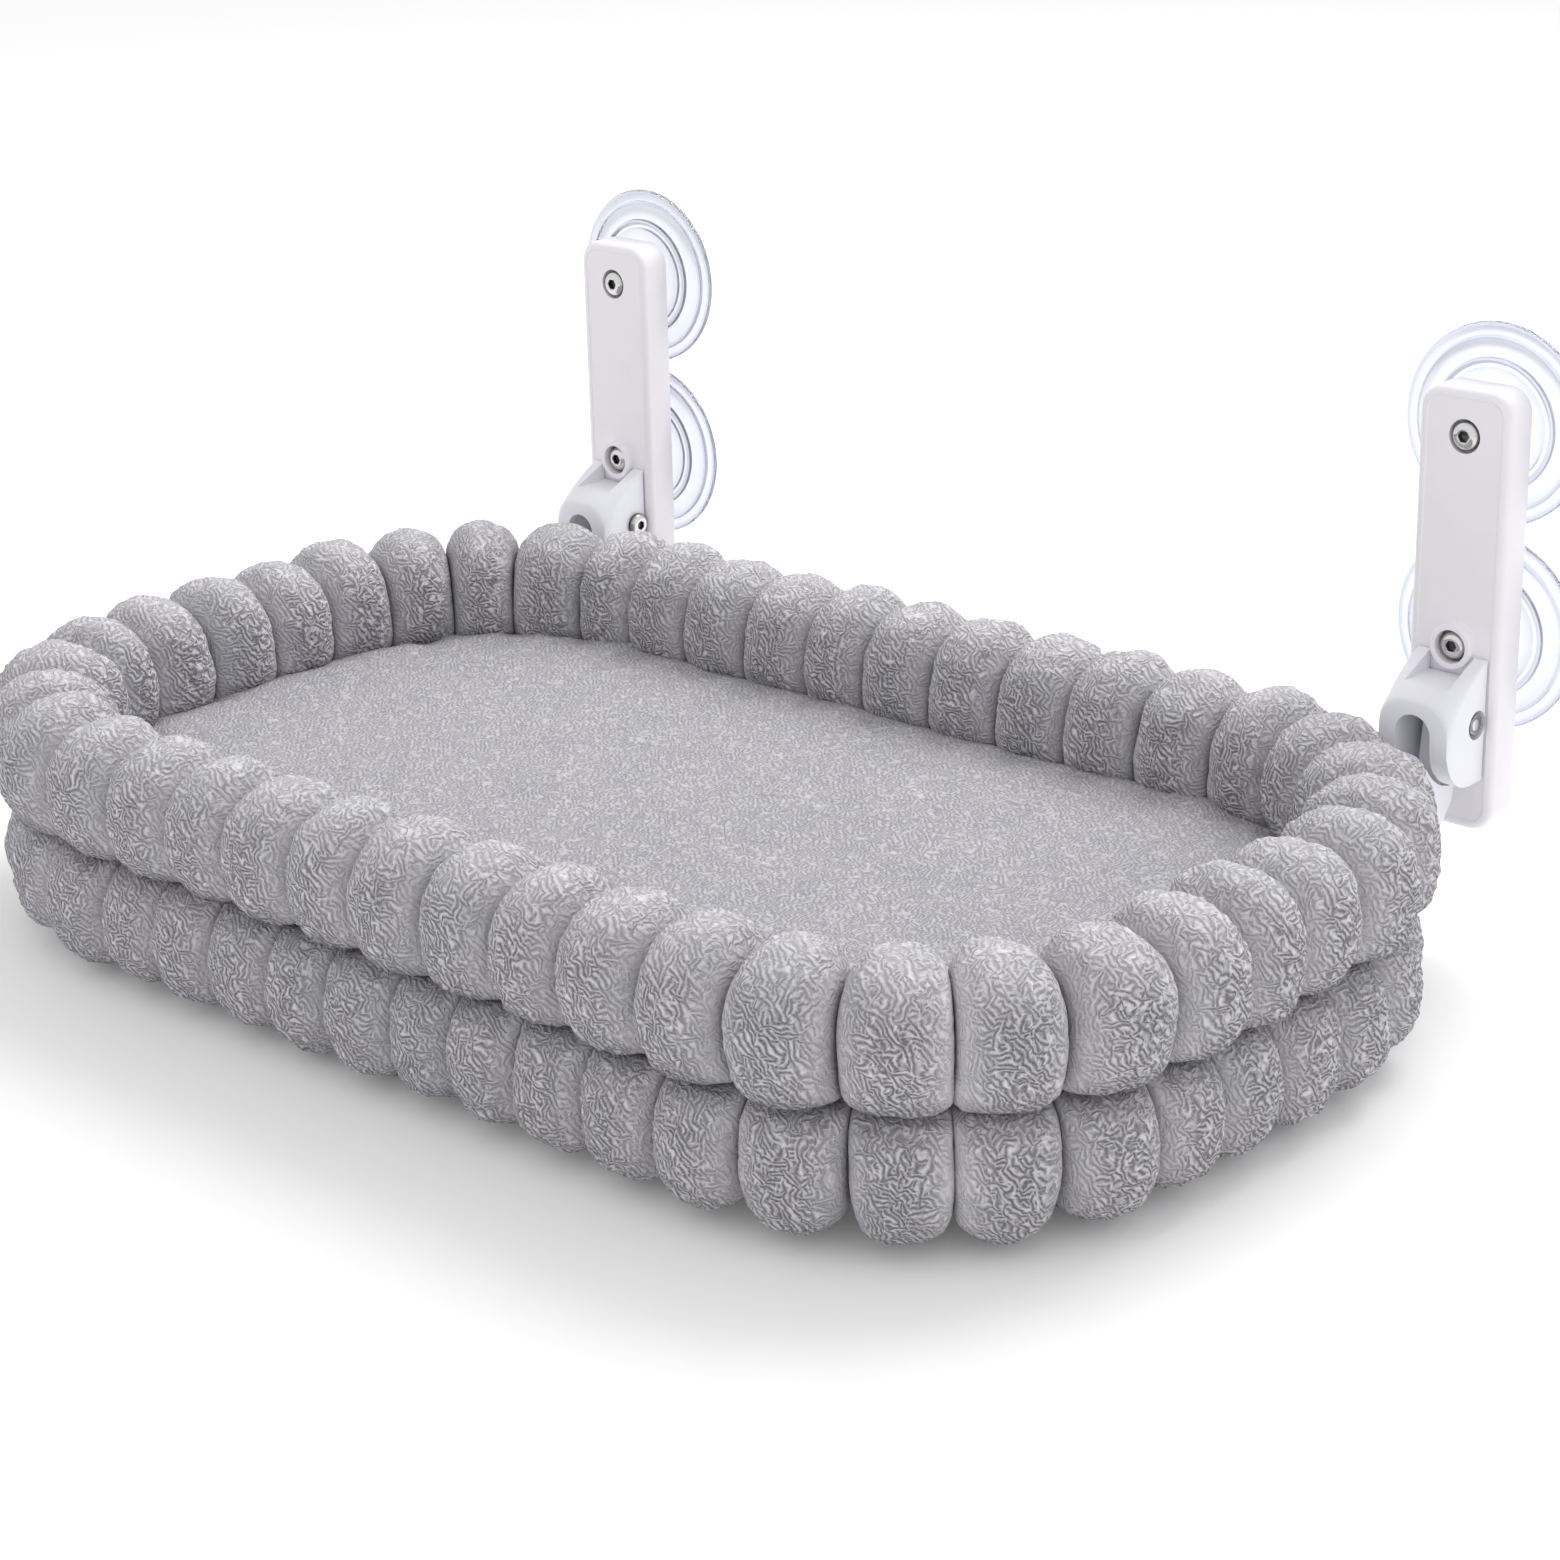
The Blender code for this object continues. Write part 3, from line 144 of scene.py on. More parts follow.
def moulded_abs(name, colour, roughness, grain):
    """ABS moulded in a spark-eroded tool: an even soft gloss broken by a fine pebble."""
    material, tree, shader, place = start_material(name, {"IOR": 1.54, "Roughness": roughness})
    flow = {"Vector": place, "Scale": 1 / FLOW_MARK, "Detail": 1.5, "Distortion": 0.6}
    flow = add(tree, "ShaderNodeTexNoise", flow)
    tone = ((0.3, tinted(colour, 0.985)), (0.7, tinted(colour, 1.01)))
    tone = add(tree, "ShaderNodeValToRGB", {"Fac": flow}, stops=tone)
    pebble = add(tree, "ShaderNodeTexNoise", {"Vector": place, "Scale": 1 / grain})
    gloss = {"Value": pebble, "From Min": 0.3, "From Max": 0.7}
    gloss.update({"To Min": roughness - 0.03, "To Max": roughness + 0.03})
    gloss = add(tree, "ShaderNodeMapRange", gloss)
    sink = add(tree, "ShaderNodeBump", {"Height": flow, "Distance": 0.2 * MM, "Strength": 0.3})
    pits = {"Height": pebble, "Distance": 0.02 * MM, "Strength": 0.4, "Normal": sink}
    pits = add(tree, "ShaderNodeBump", pits)
    plug(tree, shader, {"Base Color": tone, "Roughness": gloss, "Normal": pits})
    return material


def clear_pvc(name, colour, deep):
    """Plasticised PVC, moulded clear: soft waves, a milky cool tint, and lilac where it is thick."""
    values = {"IOR": 1.53, "Roughness": 0.16, "Transmission Weight": 0.86}
    material, tree, shader, place = start_material(name, values)
    waves = {"Vector": place, "Scale": 1 / PVC_WAVE, "Detail": 1.0, "Distortion": 0.4}
    waves = add(tree, "ShaderNodeTexNoise", waves)
    tone = ((0.25, tinted(colour, 0.97)), (0.75, tinted(colour, 1.02)))
    tone = add(tree, "ShaderNodeValToRGB", {"Fac": waves}, stops=tone)
    thick = add(tree, "ShaderNodeAttribute", out="Fac", attribute_name="thick")
    deeper = {0: thick, MIX_A: tone, MIX_B: tinted(deep, 1.0)}
    deeper = add(tree, "ShaderNodeMix", deeper, out=MIX_OUT, data_type="RGBA")
    ripple = add(tree, "ShaderNodeBump", {"Height": waves, "Distance": 0.3 * MM, "Strength": 0.25})
    plug(tree, shader, {"Base Color": deeper, "Normal": ripple})
    return material


def plated_steel(name, colour, roughness, wear):
    """Turned and plated steel: bright, with fine turning marks and slightly duller patches, and painted shade
    and painted dark reflection in a screw's socket and round its head.
    """
    material, tree, shader, place = start_material(name, {"Metallic": 1.0, "Roughness": roughness})
    patches = add(tree, "ShaderNodeTexNoise", {"Vector": place, "Scale": 1 / PLATE_PATCH})
    tone = ((0.3, tinted(colour, 1 - wear)), (0.7, tinted(colour, 1.0)))
    tone = add(tree, "ShaderNodeValToRGB", {"Fac": patches}, stops=tone)
    # Painted shade in the socket and painted dark reflection on the crown's edge and the head's side, nearly
    # black where the recess attribute is 1.
    recess = add(tree, "ShaderNodeAttribute", out="Fac", attribute_name="recess")
    shaded = {0: recess, MIX_A: tone, MIX_B: tinted(colour, 0.12)}
    shaded = add(tree, "ShaderNodeMix", shaded, out=MIX_OUT, data_type="RGBA")
    dull = {"Value": patches, "From Min": 0.3, "From Max": 0.7}
    dull.update({"To Min": roughness + wear, "To Max": roughness})
    dull = add(tree, "ShaderNodeMapRange", dull)
    marks = add(tree, "ShaderNodeTexNoise", {"Vector": place, "Scale": 1 / TURNING_MARK, "Detail": 1.0})
    turned_face = add(tree, "ShaderNodeBump", {"Height": marks, "Distance": 0.02 * MM, "Strength": 0.4})
    plug(tree, shader, {"Base Color": shaded, "Roughness": dull, "Normal": turned_face})
    return material


def uneven(name, values, colour, shades, size, depth, strength):
    """A plain surface whose tone and height follow one soft pattern of a real size."""
    material, tree, shader, place = start_material(name, values)
    cloud = add(tree, "ShaderNodeTexNoise", {"Vector": place, "Scale": 1 / size})
    low, high = shades
    tone = ((0.3, tinted(colour, low)), (0.7, tinted(colour, high)))
    tone = add(tree, "ShaderNodeValToRGB", {"Fac": cloud}, stops=tone)
    relief = add(tree, "ShaderNodeBump", {"Height": cloud, "Distance": depth, "Strength": strength})
    plug(tree, shader, {"Base Color": tone, "Normal": relief})
    return material


def moulded_nylon(name, colour):
    """Natural nylon 66, moulded: waxy, milky and a little uneven."""
    values = {"IOR": 1.53, "Roughness": 0.45, "Subsurface Weight": 0.15, "Subsurface Scale": 2 * MM}
    return uneven(name, values, colour, (0.93, 1.03), NYLON_CLOUD, 0.05 * MM, 0.5)


def powder_coated_steel(name, colour):
    """Steel tube in powder coat: satin with the shallow dimples of the melted powder."""
    values = {"IOR": 1.5, "Roughness": 0.42}
    return uneven(name, values, colour, (0.94, 1.03), POWDER_DIMPLE, 0.06 * MM, 0.7)


def woven_polyester(name, colour):
    """Plain-woven polyester: threads that cross over and under, matt, with a faint bloom of fibres."""
    values = {"Roughness": 0.82, "Sheen Weight": 0.2, "Sheen Roughness": 0.5}
    material, tree, shader, place = start_material(name, values)
    lay = {"Vector": place, "Scale": WAVE_STEP / (2 * THREAD), "Distortion": 0.6}
    lay.update({"Detail": 1.0, "Detail Scale": 1.5})
    threads = [add(tree, "ShaderNodeTexWave", lay, out="Fac", bands_direction=axis) for axis in ("X", "Y")]
    cross = add(tree, "ShaderNodeMath", {0: threads[0], 1: threads[1]}, operation="MAXIMUM")
    slub = add(tree, "ShaderNodeTexNoise", {"Vector": place, "Scale": 1 / SLUB})
    mixed = add(tree, "ShaderNodeMath", {0: cross, 1: slub}, operation="MULTIPLY")
    tone = ((0.1, tinted(colour, 0.72)), (0.6, tinted(colour, 1.1)))
    tone = add(tree, "ShaderNodeValToRGB", {"Fac": mixed}, stops=tone)
    relief = add(tree, "ShaderNodeBump", {"Height": cross, "Distance": 0.3 * MM, "Strength": 0.7})
    plug(tree, shader, {"Base Color": tone, "Normal": relief})
    return material


def warped(tree, place, size, reach):
    """Places pushed about by slow noise, so that what is drawn on them curls."""
    drift = add(tree, "ShaderNodeTexNoise", {"Vector": place, "Scale": 1 / size, "Detail": 1.0}, out="Color")
    centred = add(tree, "ShaderNodeVectorMath", {0: drift, 1: (0.5, 0.5, 0.5)}, operation="SUBTRACT")
    step = add(tree, "ShaderNodeVectorMath", {0: centred, "Scale": reach}, operation="SCALE")
    return add(tree, "ShaderNodeVectorMath", {0: place, 1: step}, operation="ADD")


def strokes(tree, place, spacing):
    """Curled strokes lying side by side, in tufts that each lean one of three ways."""
    drawn = None
    for axis, bend, reach in (("X", 4.5, 0), ("Z", 5.0, 3.4), ("DIAGONAL", 4.0, 2.5)):
        lay = {"Vector": place, "Scale": WAVE_STEP / spacing, "Distortion": bend}
        lay.update({"Detail": 1.0, "Detail Scale": 1.3})
        family = add(tree, "ShaderNodeTexWave", lay, out="Fac", bands_direction=axis)
        if drawn is None:
            drawn = family
            continue
        tufts = {"Vector": place, "Scale": 1 / (spacing * reach), "Detail": 1.0, "Distortion": 0.5}
        tufts = add(tree, "ShaderNodeTexNoise", tufts)
        choice = add(tree, "ShaderNodeMapRange", {"Value": tufts, "From Min": 0.48, "From Max": 0.54})
        drawn = add(tree, "ShaderNodeMix", {0: choice, 2: drawn, 3: family})
    breaks = {"Vector": place, "Scale": 1 / (spacing * 1.5), "Detail": 1.0, "Distortion": 0.8}
    breaks = add(tree, "ShaderNodeTexNoise", breaks)
    ends = {"Value": breaks, "From Min": 0.36, "From Max": 0.56, "To Min": 0.35}
    ends = add(tree, "ShaderNodeMapRange", ends)
    return add(tree, "ShaderNodeMath", {0: drawn, 1: ends}, operation="MULTIPLY")


def brushed_plush(name, light, dark, spacing, relief, rim_share):
    """Knitted polyester plush, brushed: pale curled tips over darker roots, laid flat and paler towards the
    seams, with painted top light where the pile faces up and painted shade in its seams and crease.
    """
    values = {"Roughness": 0.92, "Sheen Weight": 0.12, "Sheen Roughness": 0.5, "Specular IOR Level": 0.15}
    material, tree, shader, place = start_material(name, values)
    rim = add(tree, "ShaderNodeAttribute", out="Fac", attribute_name="rim")
    crease_and_seam_shade = add(tree, "ShaderNodeAttribute", out="Fac", attribute_name="crease_and_seam_shade")
    drifting = warped(tree, place, spacing * 4, spacing * 2.5)
    curls = strokes(tree, drifting, spacing)
    fibres = {"Vector": drifting, "Scale": 1 / (spacing * 0.4), "Distortion": 0.6}
    fibres = add(tree, "ShaderNodeTexNoise", fibres)
    mixed = add(tree, "ShaderNodeMath", {0: fibres, 1: 0.45, 2: curls}, operation="MULTIPLY_ADD")
    height = add(tree, "ShaderNodeMath", {0: mixed, 1: 0.82}, operation="MULTIPLY")
    # Where the rim attribute is high the pile is drawn calmer and paler: towards the seams, and as painted
    # top light where it faces up.
    calm = add(tree, "ShaderNodeMath", {0: rim, 1: rim_share}, operation="MULTIPLY")
    height = add(tree, "ShaderNodeMix", {0: calm, 2: height, 3: 0.90})
    shade = ((0.15, tinted(dark, 1.0)), (0.66, tinted(light, 0.88)), (1.0, tinted(light, 1.0)))
    shade = add(tree, "ShaderNodeValToRGB", {"Fac": height}, stops=shade)
    # Painted shade: the pile is darkened towards near black in its seams and in the crease where the rolls
    # meet.
    deep = {0: crease_and_seam_shade, MIX_A: shade, MIX_B: tinted(dark, 0.35)}
    deep = add(tree, "ShaderNodeMix", deep, out=MIX_OUT, data_type="RGBA")
    cloud = add(tree, "ShaderNodeTexNoise", {"Vector": place, "Scale": 1 / BRUSHED_PATCH})
    patch = ((0.3, (0.93, 0.94, 0.94, 1)), (0.7, (1.0, 0.98, 0.99, 1)))
    patch = add(tree, "ShaderNodeValToRGB", {"Fac": cloud}, stops=patch)
    toned = {0: 1.0, MIX_A: deep, MIX_B: patch}
    toned = add(tree, "ShaderNodeMix", toned, out=MIX_OUT, data_type="RGBA", blend_type="MULTIPLY")
    pile = add(tree, "ShaderNodeBump", {"Height": height, "Distance": relief, "Strength": 1.0})
    plug(tree, shader, {"Base Color": toned, "Normal": pile})
    return material


# Meshes from grids of points

def grid_mesh(name, grid, closed_rows, caps=False):
    """An object from rows of points whose columns close on themselves."""
    rows, columns = grid.shape[:2]
    index = np.arange(rows * columns).reshape(rows, columns)
    if closed_rows:
        index = np.vstack([index, index[:1]])
    along = np.hstack([index, index[:, :1]])
    faces = np.stack([along[:-1, :-1], along[:-1, 1:], along[1:, 1:], along[1:, :-1]], axis=-1)
    faces = [tuple(face) for face in faces.reshape(-1, 4).tolist()]
    if caps:
        faces.append(tuple(index[0][::-1].tolist()))
        faces.append(tuple(index[-1].tolist()))
    mesh = bpy.data.meshes.new(name)
    mesh.from_pydata(grid.reshape(-1, 3).tolist(), [], faces)
    made = bpy.data.objects.new(name, mesh)
    bpy.context.scene.collection.objects.link(made)
    mesh.shade_smooth()
    return made


def between(grid, factor, axis, closed):
    """Insert points along one axis of a grid on a Catmull-Rom curve through those it has."""
    if closed:
        before = np.roll(grid, 1, axis)
        here = grid
        after = np.roll(grid, -1, axis)
        beyond = np.roll(grid, -2, axis)
    else:
        last = grid.shape[axis] - 1
        steps = np.arange(last)
        before = np.take(grid, np.maximum(steps - 1, 0), axis)
        here = np.take(grid, steps, axis)
        after = np.take(grid, steps + 1, axis)
        beyond = np.take(grid, np.minimum(steps + 2, last), axis)
    layers = []
    for step in range(factor):
        t = step / factor
        curve = 2 * here + (after - before) * t
        curve = curve + (2 * before - 5 * here + 4 * after - beyond) * t * t
        curve = curve + (3 * here - before - 3 * after + beyond) * t**3
        layers.append(curve / 2)
    joined = np.stack(layers, axis + 1)
    shape = list(here.shape)
    shape[axis] *= factor
    joined = joined.reshape(shape)
    if closed:
        return joined
    return np.concatenate([joined, np.take(grid, [grid.shape[axis] - 1], axis)], axis)


def grid_normals(grid, closed_rows):
    """Unit normals of a grid of points, to the right of its rows as its columns turn."""
    across = np.roll(grid, -1, 1) - np.roll(grid, 1, 1)
    if closed_rows:
        along = np.roll(grid, -1, 0) - np.roll(grid, 1, 0)
    else:
        along = np.gradient(grid, axis=0)
    normal = np.cross(across, along)
    return normal / np.maximum(np.linalg.norm(normal, axis=-1, keepdims=True), 1e-12)


# Large primes that scatter a cell's whole numbers and the seed
HASH = (73856093, 19349663, 83492791, 2654435761, 1274126177, 668265263)


def lattice_noise(points, cell, seed):
    """Smooth noise from 0 to 1 at points, with cells of a size in metres."""
    scaled = points / cell
    base = np.floor(scaled).astype(np.int64)
    share = scaled - base
    share = share * share * (3 - 2 * share)
    total = np.zeros(points.shape[:-1])
    for corner in range(8):
        step = np.array((corner & 1, corner >> 1 & 1, corner >> 2 & 1))
        at = base + step
        mixed = at[..., 0] * HASH[0] ^ at[..., 1] * HASH[1] ^ at[..., 2] * HASH[2] ^ seed * HASH[3]
        mixed = (mixed ^ mixed >> 13) * HASH[4] & 0x7FFFFFFF
        mixed = (mixed ^ mixed >> 11) * HASH[5] & 0x7FFFFFFF
        weight = np.prod(np.where(step == 1, share, 1 - share), axis=-1)
        total += weight * (mixed % 65521) / 65520
    return total


def curled(points, cell, seed):
    """Wandering ridges from 0 to 1, as brushed pile makes."""
    drift = [lattice_noise(points, cell * 1.7, seed + axis) for axis in (1, 2, 3)]
    moved = points + (np.stack(drift, -1) - 0.5) * cell * 1.8
    ridge = 1 - np.abs(2 * lattice_noise(moved, cell, seed) - 1) * 2
    return np.clip(ridge, 0, 1)


FILLING_FRAMES = 20


def puffed(bag, held, pressure, cap):
    """Blow a closed mesh up as cloth and return its points: held ones stay, the rest move by cap at most."""
    group = bag.vertex_groups.new(name="held")
    group.add(held, 1.0, "REPLACE")
    cloth = bag.modifiers.new("Cloth", "CLOTH")
    settings = cloth.settings
    settings.quality = 6
    settings.mass = 0.15
    settings.tension_stiffness = 18
    settings.compression_stiffness = 18
    settings.bending_stiffness = 0.4
    settings.use_pressure = True
    settings.uniform_pressure_force = pressure
    settings.vertex_group_mass = group.name
    settings.effector_weights.gravity = 0
    cloth.point_cache.frame_start = 1
    cloth.point_cache.frame_end = FILLING_FRAMES
    for step in range(1, FILLING_FRAMES + 1):
        bpy.context.scene.frame_set(step)
    shaped = bag.evaluated_get(bpy.context.evaluated_depsgraph_get())
    places = []
    for mesh in (bag.data, shaped.data):
        found = np.empty(len(mesh.vertices) * 3)
        mesh.vertices.foreach_get("co", found)
        places.append(found.reshape(-1, 3))
    start, moved = places[0], places[1] - places[0]
    reach = np.linalg.norm(moved, axis=-1, keepdims=True)
    moved = moved * np.minimum(1, cap / np.maximum(reach, 1e-9))
    mesh = bag.data
    bpy.data.objects.remove(bag)
    bpy.data.meshes.remove(mesh)
    bpy.context.scene.frame_set(1)
    return start + moved


def give(mesh, name, values):
    """Store one number per vertex for the shader."""
    layer = mesh.attributes.new(name, "FLOAT", "POINT")
    layer.data.foreach_set("value", np.ascontiguousarray(values, dtype=np.float32).ravel())


def dress(piece, material, body, slot, *nodes):
    """Give a piece its material and its body, and hide the CAD nodes it stands for. The slot is not used."""
    piece.data.materials.clear()
    piece.data.materials.append(material)
    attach(piece, body)
    if nodes:
        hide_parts(*nodes)


# Plush rolls

# Rows and columns of a segment's cloth, and how many times finer its pile is
CLOTH_ROWS, CLOTH_COLUMNS, FINER = 7, 35, 3
# Width and height of the filling's lumps, and heights of the long and the fine curls
LUMP, LUMP_HEIGHT = 11 * MM, 2.2 * MM
CURL_HEIGHT, FINE_HEIGHT, FINE_SHARE = 1.0 * MM, 0.6 * MM, 0.62
# Half the gap between the rolls, and the softness with which each is pressed flat there
ROLL_GAP, PRESS_BLEND = 0.4 * MM, 1.2 * MM
# Room beside an arm, softness of the pile's edge there, length of the arm's flat end inside the bed,
# and room above and below the sling where the arm passes
ARM_ROOM, ARM_BLEND, ARM_TONGUE = 1 * MM, 4 * MM, 110 * MM
ABOVE_ARM, BELOW_ARM = 5.8 * MM, 6.4 * MM
# Reach of the shade that the rolls cast on each other in their crease
CREASE_SHADE = 7 * MM


def corner_path(half_u, half_v, corner, steps=48):
    """Distances, places and outward angles along a rounded rectangle, from its front right corner."""
    angles, places = [], []
    for quarter in range(5):
        low = pi / 2 * (quarter - 1)
        ends = (low + (pi / 4 if quarter == 0 else 0), low + (pi / 4 if quarter == 4 else pi / 2))
        centre_x = (half_u - corner) * (1 if quarter in (0, 1, 4) else -1)
        centre_y = (half_v - corner) * (-1 if quarter in (0, 3, 4) else 1)
        for angle in np.linspace(*ends, steps):
            angles.append(angle)
            places.append((centre_x + corner * cos(angle), centre_y + corner * sin(angle)))
    places = np.array(places)
    strides = np.linalg.norm(np.diff(places, axis=0), axis=1)
    return np.concatenate([[0], np.cumsum(strides)]), places, np.array(angles)


def segment_profile(width, depth, fullness, count):
    """Shares across a segment and its fullness there, evenly spaced along its rounded outline."""
    turn = np.linspace(0, pi, 600)
    share = (1 - np.sign(np.cos(turn)) * np.abs(np.cos(turn)) ** (2 / fullness)) / 2
    full = np.sin(turn).clip(0) ** (2 / fullness)
    steps = np.hypot(np.diff(share * width), np.diff(full * depth))
    along = np.concatenate([[0], np.cumsum(steps)])
    even = np.linspace(0, along[-1], count + 1)[:-1]
    return np.interp(even, along, share), np.interp(even, along, full)


def roll_rows(settings, roll, per_segment):
    """For each row of a roll: its place, outward angle, share of its segment, fullness and size."""
    rng = np.random.default_rng(roll.seed)
    corner = settings.bed_corner - roll.inset
    half_u, half_v = settings.half_length - roll.inset, settings.half_width - roll.inset
    distance, places, angles = corner_path(half_u, half_v, corner)
    count = roll.segments
    seams = np.arange(count + 1) / count + np.append(rng.uniform(-0.06, 0.06, count), 0) / count
    seams[0], seams[-1] = 0, 1
    sizes = 1 + rng.uniform(-0.03, 0.025, count)
    width = distance[-1] / count
    one = segment_profile(width, settings.seam_depth, settings.fullness, per_segment)
    share, full = (np.tile(values, count) for values in one)
    full[:per_segment // 2] **= settings.closing
    full[-(per_segment // 2):] **= settings.closing
    segment = np.repeat(np.arange(count), per_segment)
    run = (seams[segment] + (seams[segment + 1] - seams[segment]) * share) * distance[-1]
    x, y = (np.interp(run, distance, places[:, k]) for k in (0, 1))
    turn = np.interp(run, distance, angles)
    swell = 1 - settings.seam_depth / roll.half_width * (1 - full)
    swell = swell * (1 + (sizes[segment] - 1) * full)
    return np.stack([x, y], -1), turn, share, full, swell


def rest_on(level, limit, up, blend):
    """Heights pressed flat at a limit, with a rounded edge."""
    side = 1 if up else -1
    over = (level - limit) * side / blend
    pressed = np.where(over > 20, over, np.log1p(np.exp(np.minimum(over, 20))))
    return limit + side * pressed * blend


def roll_section(settings, roll, rows, columns, slack):
    """The roll's rows of points round its path."""
    place, turn, _, full, swell = rows
    centre_y = bed_centre()
    around = 2 * pi * np.arange(columns) / columns
    seat = (1.40 if roll.upper else 0.58) * pi  # towards the pad and the other roll, as an angle
    seated = np.clip(np.cos(around - seat), 0, 1)[None, :] ** 1.5 * settings.seated
    swell = (swell - slack * full)[:, None]
    swell = swell + settings.seam_depth / roll.half_width * (1 - full)[:, None] * seated
    squarer = 2 / 2.25
    out = np.sign(np.cos(around)) * np.abs(np.cos(around)) ** squarer
    up = np.sign(np.sin(around)) * np.abs(np.sin(around)) ** squarer
    spread = swell * roll.half_width * out[None, :]
    level = roll.height + swell * roll.half_height * up[None, :]
    x = place[:, 0, None] + np.cos(turn)[:, None] * spread
    y = place[:, 1, None] + np.sin(turn)[:, None] * spread + centre_y
    return np.stack([x, y, level], -1)


def bed_centre():
    """Where the middle of the bed lies across the room."""
    low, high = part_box("upper_bolster")
    return (low.y + high.y) / 2


def clear_arms(grid, up):
    """Lift or lower the pile that lies where an arm passes between the rolls."""
    for side in SIDES:
        low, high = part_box(f"{side}_arm")
        middle, half = (low.x + high.x) / 2, (high.x - low.x) / 2
        off = np.maximum(np.abs(grid[..., 0] - middle) - half - ARM_ROOM, 0)
        over = grid[..., 1] - (low.y + ARM_TONGUE)
        near = np.exp(-((off / ARM_BLEND) ** 2)) * (over > 0)
        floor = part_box("base_sling")[1].z
        edge = floor + ABOVE_ARM if up else floor - BELOW_ARM
        wanted = np.maximum(grid[..., 2], edge) if up else np.minimum(grid[..., 2], edge)
        grid[..., 2] += (wanted - grid[..., 2]) * near
    return grid


def build_roll(settings, roll, material):
    """One plush roll: puffed segments between deep seams, with curled pile over all of it."""
    rows = roll_rows(settings, roll, CLOTH_ROWS * FINER)
    grid = roll_section(settings, roll, rows, CLOTH_COLUMNS * FINER, 0)
    cloth_rows = roll_rows(settings, roll, CLOTH_ROWS)
    slack = roll_section(settings, roll, cloth_rows, CLOTH_COLUMNS, settings.slack)
    bag = grid_mesh(roll.node + "_bag", slack, True)
    seams = range(0, len(slack), CLOTH_ROWS)
    pinned = [row * CLOTH_COLUMNS + k for row in seams for k in range(CLOTH_COLUMNS)]
    filled = puffed(bag, pinned, settings.pressure, settings.swell_cap).reshape(slack.shape)
    plain = roll_section(settings, roll, cloth_rows, CLOTH_COLUMNS, 0)
    grid = grid + between(between(filled - plain, FINER, 0, True), FINER, 1, True)
    share, full = rows[2], rows[3]
    edge = np.abs(2 * share - 1)[:, None]
    normal = grid_normals(grid, True)
    centre = grid.mean(1)
    facing = np.sign((normal * (grid - centre[:, None])).sum(-1).mean())
    normal = normal * facing
    lumps = lattice_noise(grid, LUMP, roll.seed) - 0.5
    pile = curled(grid, settings.curl, roll.seed + 40)
    fine = curled(grid, settings.curl * FINE_SHARE, roll.seed + 80)
    calm = 1 - 0.6 * edge**4
    height = (lumps * LUMP_HEIGHT + (pile * CURL_HEIGHT + fine * FINE_HEIGHT) * calm) * full[:, None]
    grid = grid + normal * height[..., None]
    crease = settings.crease
    gap = ROLL_GAP if roll.upper else -ROLL_GAP
    grid[..., 2] = rest_on(grid[..., 2], crease + gap, roll.upper, PRESS_BLEND)
    grid = clear_arms(grid, roll.upper)
    piece = grid_mesh(roll.node + "_plush", grid, True)
    if facing < 0:
        piece.data.flip_normals()
    # Painted top light: pile that faces up is drawn paler and calmer, stored in the rim attribute together
    # with the paler seams.
    crown = np.clip(normal[..., 2] - 0.25, 0, 1) * 0.6
    give(piece.data, "rim", np.maximum(edge**3, crown))
    # Painted shade: the pile darkens into each seam and in the crease where the two rolls meet, where shade
    # falls.
    pressed = 0.45 * np.exp(-(((grid[..., 2] - crease) / CREASE_SHADE) ** 2))
    give(piece.data, "crease_and_seam_shade", np.maximum(pressed, ((1 - full) ** 1.8)[:, None]))
    dress(piece, material, "bed", "plush", roll.node)
    return piece


# Pad, sling and cover

PAD_COLUMNS, PAD_ROWS = 66, 38
PAD_PRESSURE, PAD_SWELL = 2.0, 2.2 * MM
# The pad lies this much inside its CAD solid above and below, since its filling and pile stand out
PAD_TOP, PAD_BOTTOM = 0.8 * MM, 0.3 * MM
# Widths and height of the pad's waves, width and height of its tufts
WAVE_WIDTH, DENT_WIDTH, WAVE_HEIGHT = 34 * MM, 16 * MM, 1.6 * MM
TUFT_WIDTH, TUFT_HEIGHT = 6.2 * MM, 0.6 * MM
SHEET_COLUMNS, SHEET_ROWS = 110, 62
SAG_WIDTH = 50 * MM
# The sling's cloth, how far its hanging edge stands off the tubes, that edge's corner and its dip at an arm
CLOTH, OFF_TUBE, SKIRT_CORNER, ARM_DIP = 1.2 * MM, 3.0 * MM, 74 * MM, 5.2 * MM
SKIRT_STEPS, SKIRT_GAP, SKIRT_ROOM = 360, 0.1 * MM, 2.5 * MM


def cut_sheet(half_u, half_v, corner, columns, rows):
    """A grid of places that fills a rounded rectangle, crowded nowhere."""
    u = np.linspace(-1, 1, columns)[None, :].repeat(rows, 0)
    v = np.linspace(-1, 1, rows)[:, None].repeat(columns, 1)
    reach = np.maximum(np.abs(u), np.abs(v))
    safe = np.maximum(reach, 1e-9)
    x, y = u / safe * half_u, v / safe * half_v
    over_x = np.maximum(np.abs(x) - (half_u - corner), 0)
    over_y = np.maximum(np.abs(y) - (half_v - corner), 0)
    both = (over_x > 0) & (over_y > 0)
    shrink = np.where(both, corner / np.maximum(np.hypot(over_x, over_y), 1e-9), 1)
    edge_x = np.where(both, np.sign(x) * (half_u - corner + over_x * shrink), x)
    edge_y = np.where(both, np.sign(y) * (half_v - corner + over_y * shrink), y)
    blend = reach**5
    flat_x = u * half_u * (1 - blend) + edge_x * reach * blend
    flat_y = v * half_v * (1 - blend) + edge_y * reach * blend
    return flat_x, flat_y, reach


